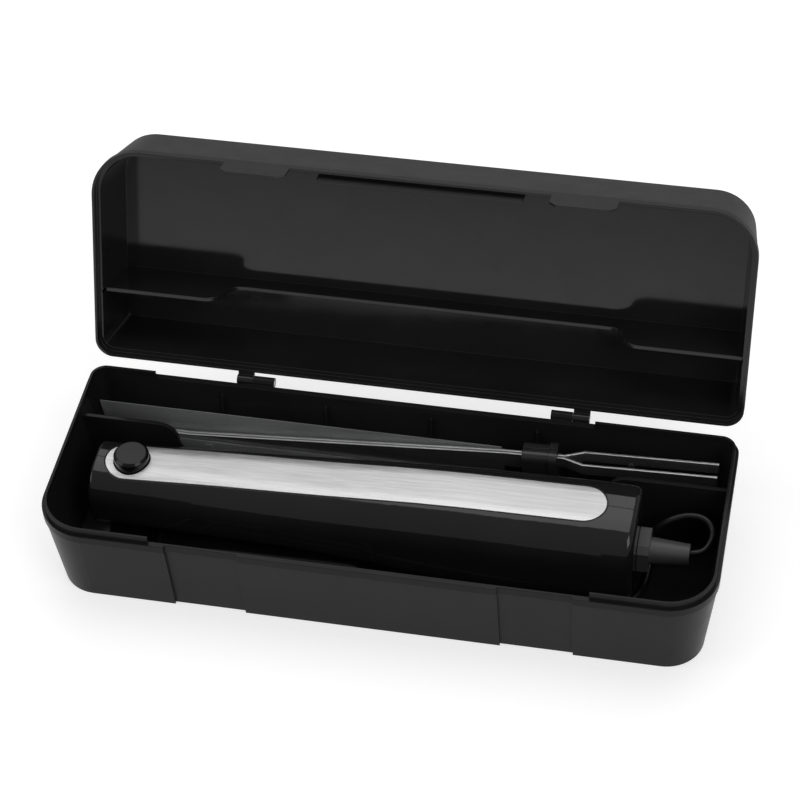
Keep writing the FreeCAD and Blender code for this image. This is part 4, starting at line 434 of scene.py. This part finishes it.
# Floor, light and camera
FLOOR_HALF = 8.0
FLOOR_DROP = 0.2 * MM
FLOOR_TONE = 0.62
FLOOR_ROUGHNESS = 0.9
FLOOR_GLOW = 0.60
WORLD_LEVEL = 0.26
WHITE = (1, 1, 1, 1)

corners = [(x * FLOOR_HALF, y * FLOOR_HALF, 0) for x, y in ((-1, -1), (1, -1), (1, 1), (-1, 1))]
mesh = bpy.data.meshes.new("floor")
mesh.from_pydata(corners, [], [(0, 1, 2, 3)])
floor = bpy.data.objects.new("floor", mesh)
floor.location.z = -FLOOR_DROP
bpy.context.scene.collection.objects.link(floor)

paper = bpy.data.materials.new("floor_paper")
paper.use_nodes = True
tree = paper.node_tree
shader = tree.nodes["Principled BSDF"]
shader.inputs["Base Color"].default_value = (FLOOR_TONE, FLOOR_TONE, FLOOR_TONE, 1)
shader.inputs["Roughness"].default_value = FLOOR_ROUGHNESS
shader.inputs["Specular IOR Level"].default_value = 0.0
shader.inputs["Emission Color"].default_value = WHITE
paths = tree.nodes.new("ShaderNodeLightPath")
seen = paths.outputs["Is Camera Ray"]
for ray in ("Is Glossy Ray", "Is Transmission Ray"):
    either = tree.nodes.new("ShaderNodeMath")
    either.operation = "MAXIMUM"
    tree.links.new(seen, either.inputs[0])
    tree.links.new(paths.outputs[ray], either.inputs[1])
    seen = either.outputs["Value"]
glow = tree.nodes.new("ShaderNodeMath")
glow.operation = "MULTIPLY"
glow.inputs[1].default_value = FLOOR_GLOW
tree.links.new(seen, glow.inputs[0])
tree.links.new(glow.outputs["Value"], shader.inputs["Emission Strength"])
floor.data.materials.append(paper)

world = bpy.data.worlds.new("studio")
bpy.context.scene.world = world
world.use_nodes = True
sky = world.node_tree.nodes["Background"]
sky.inputs["Color"].default_value = WHITE
sky.inputs["Strength"].default_value = WORLD_LEVEL


def softbox(name, place, target, width, height, power):
    """A large soft area lamp aimed at a point."""
    lamp = bpy.data.lights.new(name, "AREA")
    lamp.shape = "RECTANGLE"
    lamp.size = width
    lamp.size_y = height
    lamp.energy = power
    obj = bpy.data.objects.new(name, lamp)
    obj.location = place
    obj.rotation_euler = (Vector(target) - Vector(place)).to_track_quat("-Z", "Y").to_euler()
    bpy.context.scene.collection.objects.link(obj)


softbox("overhead", (0.0, 0.6, 1.3), (0, 0.1, 0.03), 1.6, 1.4, 10)
softbox("left_fill", (-1.3, -0.5, 0.8), (0, 0, 0.05), 0.9, 0.9, 5)
softbox("front_right", (0.95, -0.75, 1.25), (0, 0, 0.05), 0.9, 0.9, 6)

CAMERA_PLACE = (0.2076, -0.8232, 0.9859)
CAMERA_AZIMUTH = 13.61
CAMERA_ELEVATION = 46.03
CAMERA_ROLL = -3.34
CAMERA_LENS = 119.03
CAMERA_SENSOR = 36


def photo_camera():
    """Camera at the photograph's place and angle."""
    azimuth = math.radians(CAMERA_AZIMUTH)
    elevation = math.radians(CAMERA_ELEVATION)
    roll = math.radians(CAMERA_ROLL)
    reach = math.cos(elevation)
    back = Vector((math.sin(azimuth) * reach, -math.cos(azimuth) * reach, math.sin(elevation)))
    level = Vector((math.cos(azimuth), math.sin(azimuth), 0))
    upright = back.cross(level)
    right = level * math.cos(roll) + upright * math.sin(roll)
    up = back.cross(right)
    data = bpy.data.cameras.new("camera")
    data.lens = CAMERA_LENS
    data.sensor_width = CAMERA_SENSOR
    camera = bpy.data.objects.new("camera", data)
    turn = Matrix((right, up, back)).transposed().to_4x4()
    camera.matrix_world = Matrix.Translation(CAMERA_PLACE) @ turn
    bpy.context.scene.collection.objects.link(camera)
    return camera


bpy.context.scene.camera = photo_camera()
bpy.context.scene.view_settings.view_transform = "Standard"
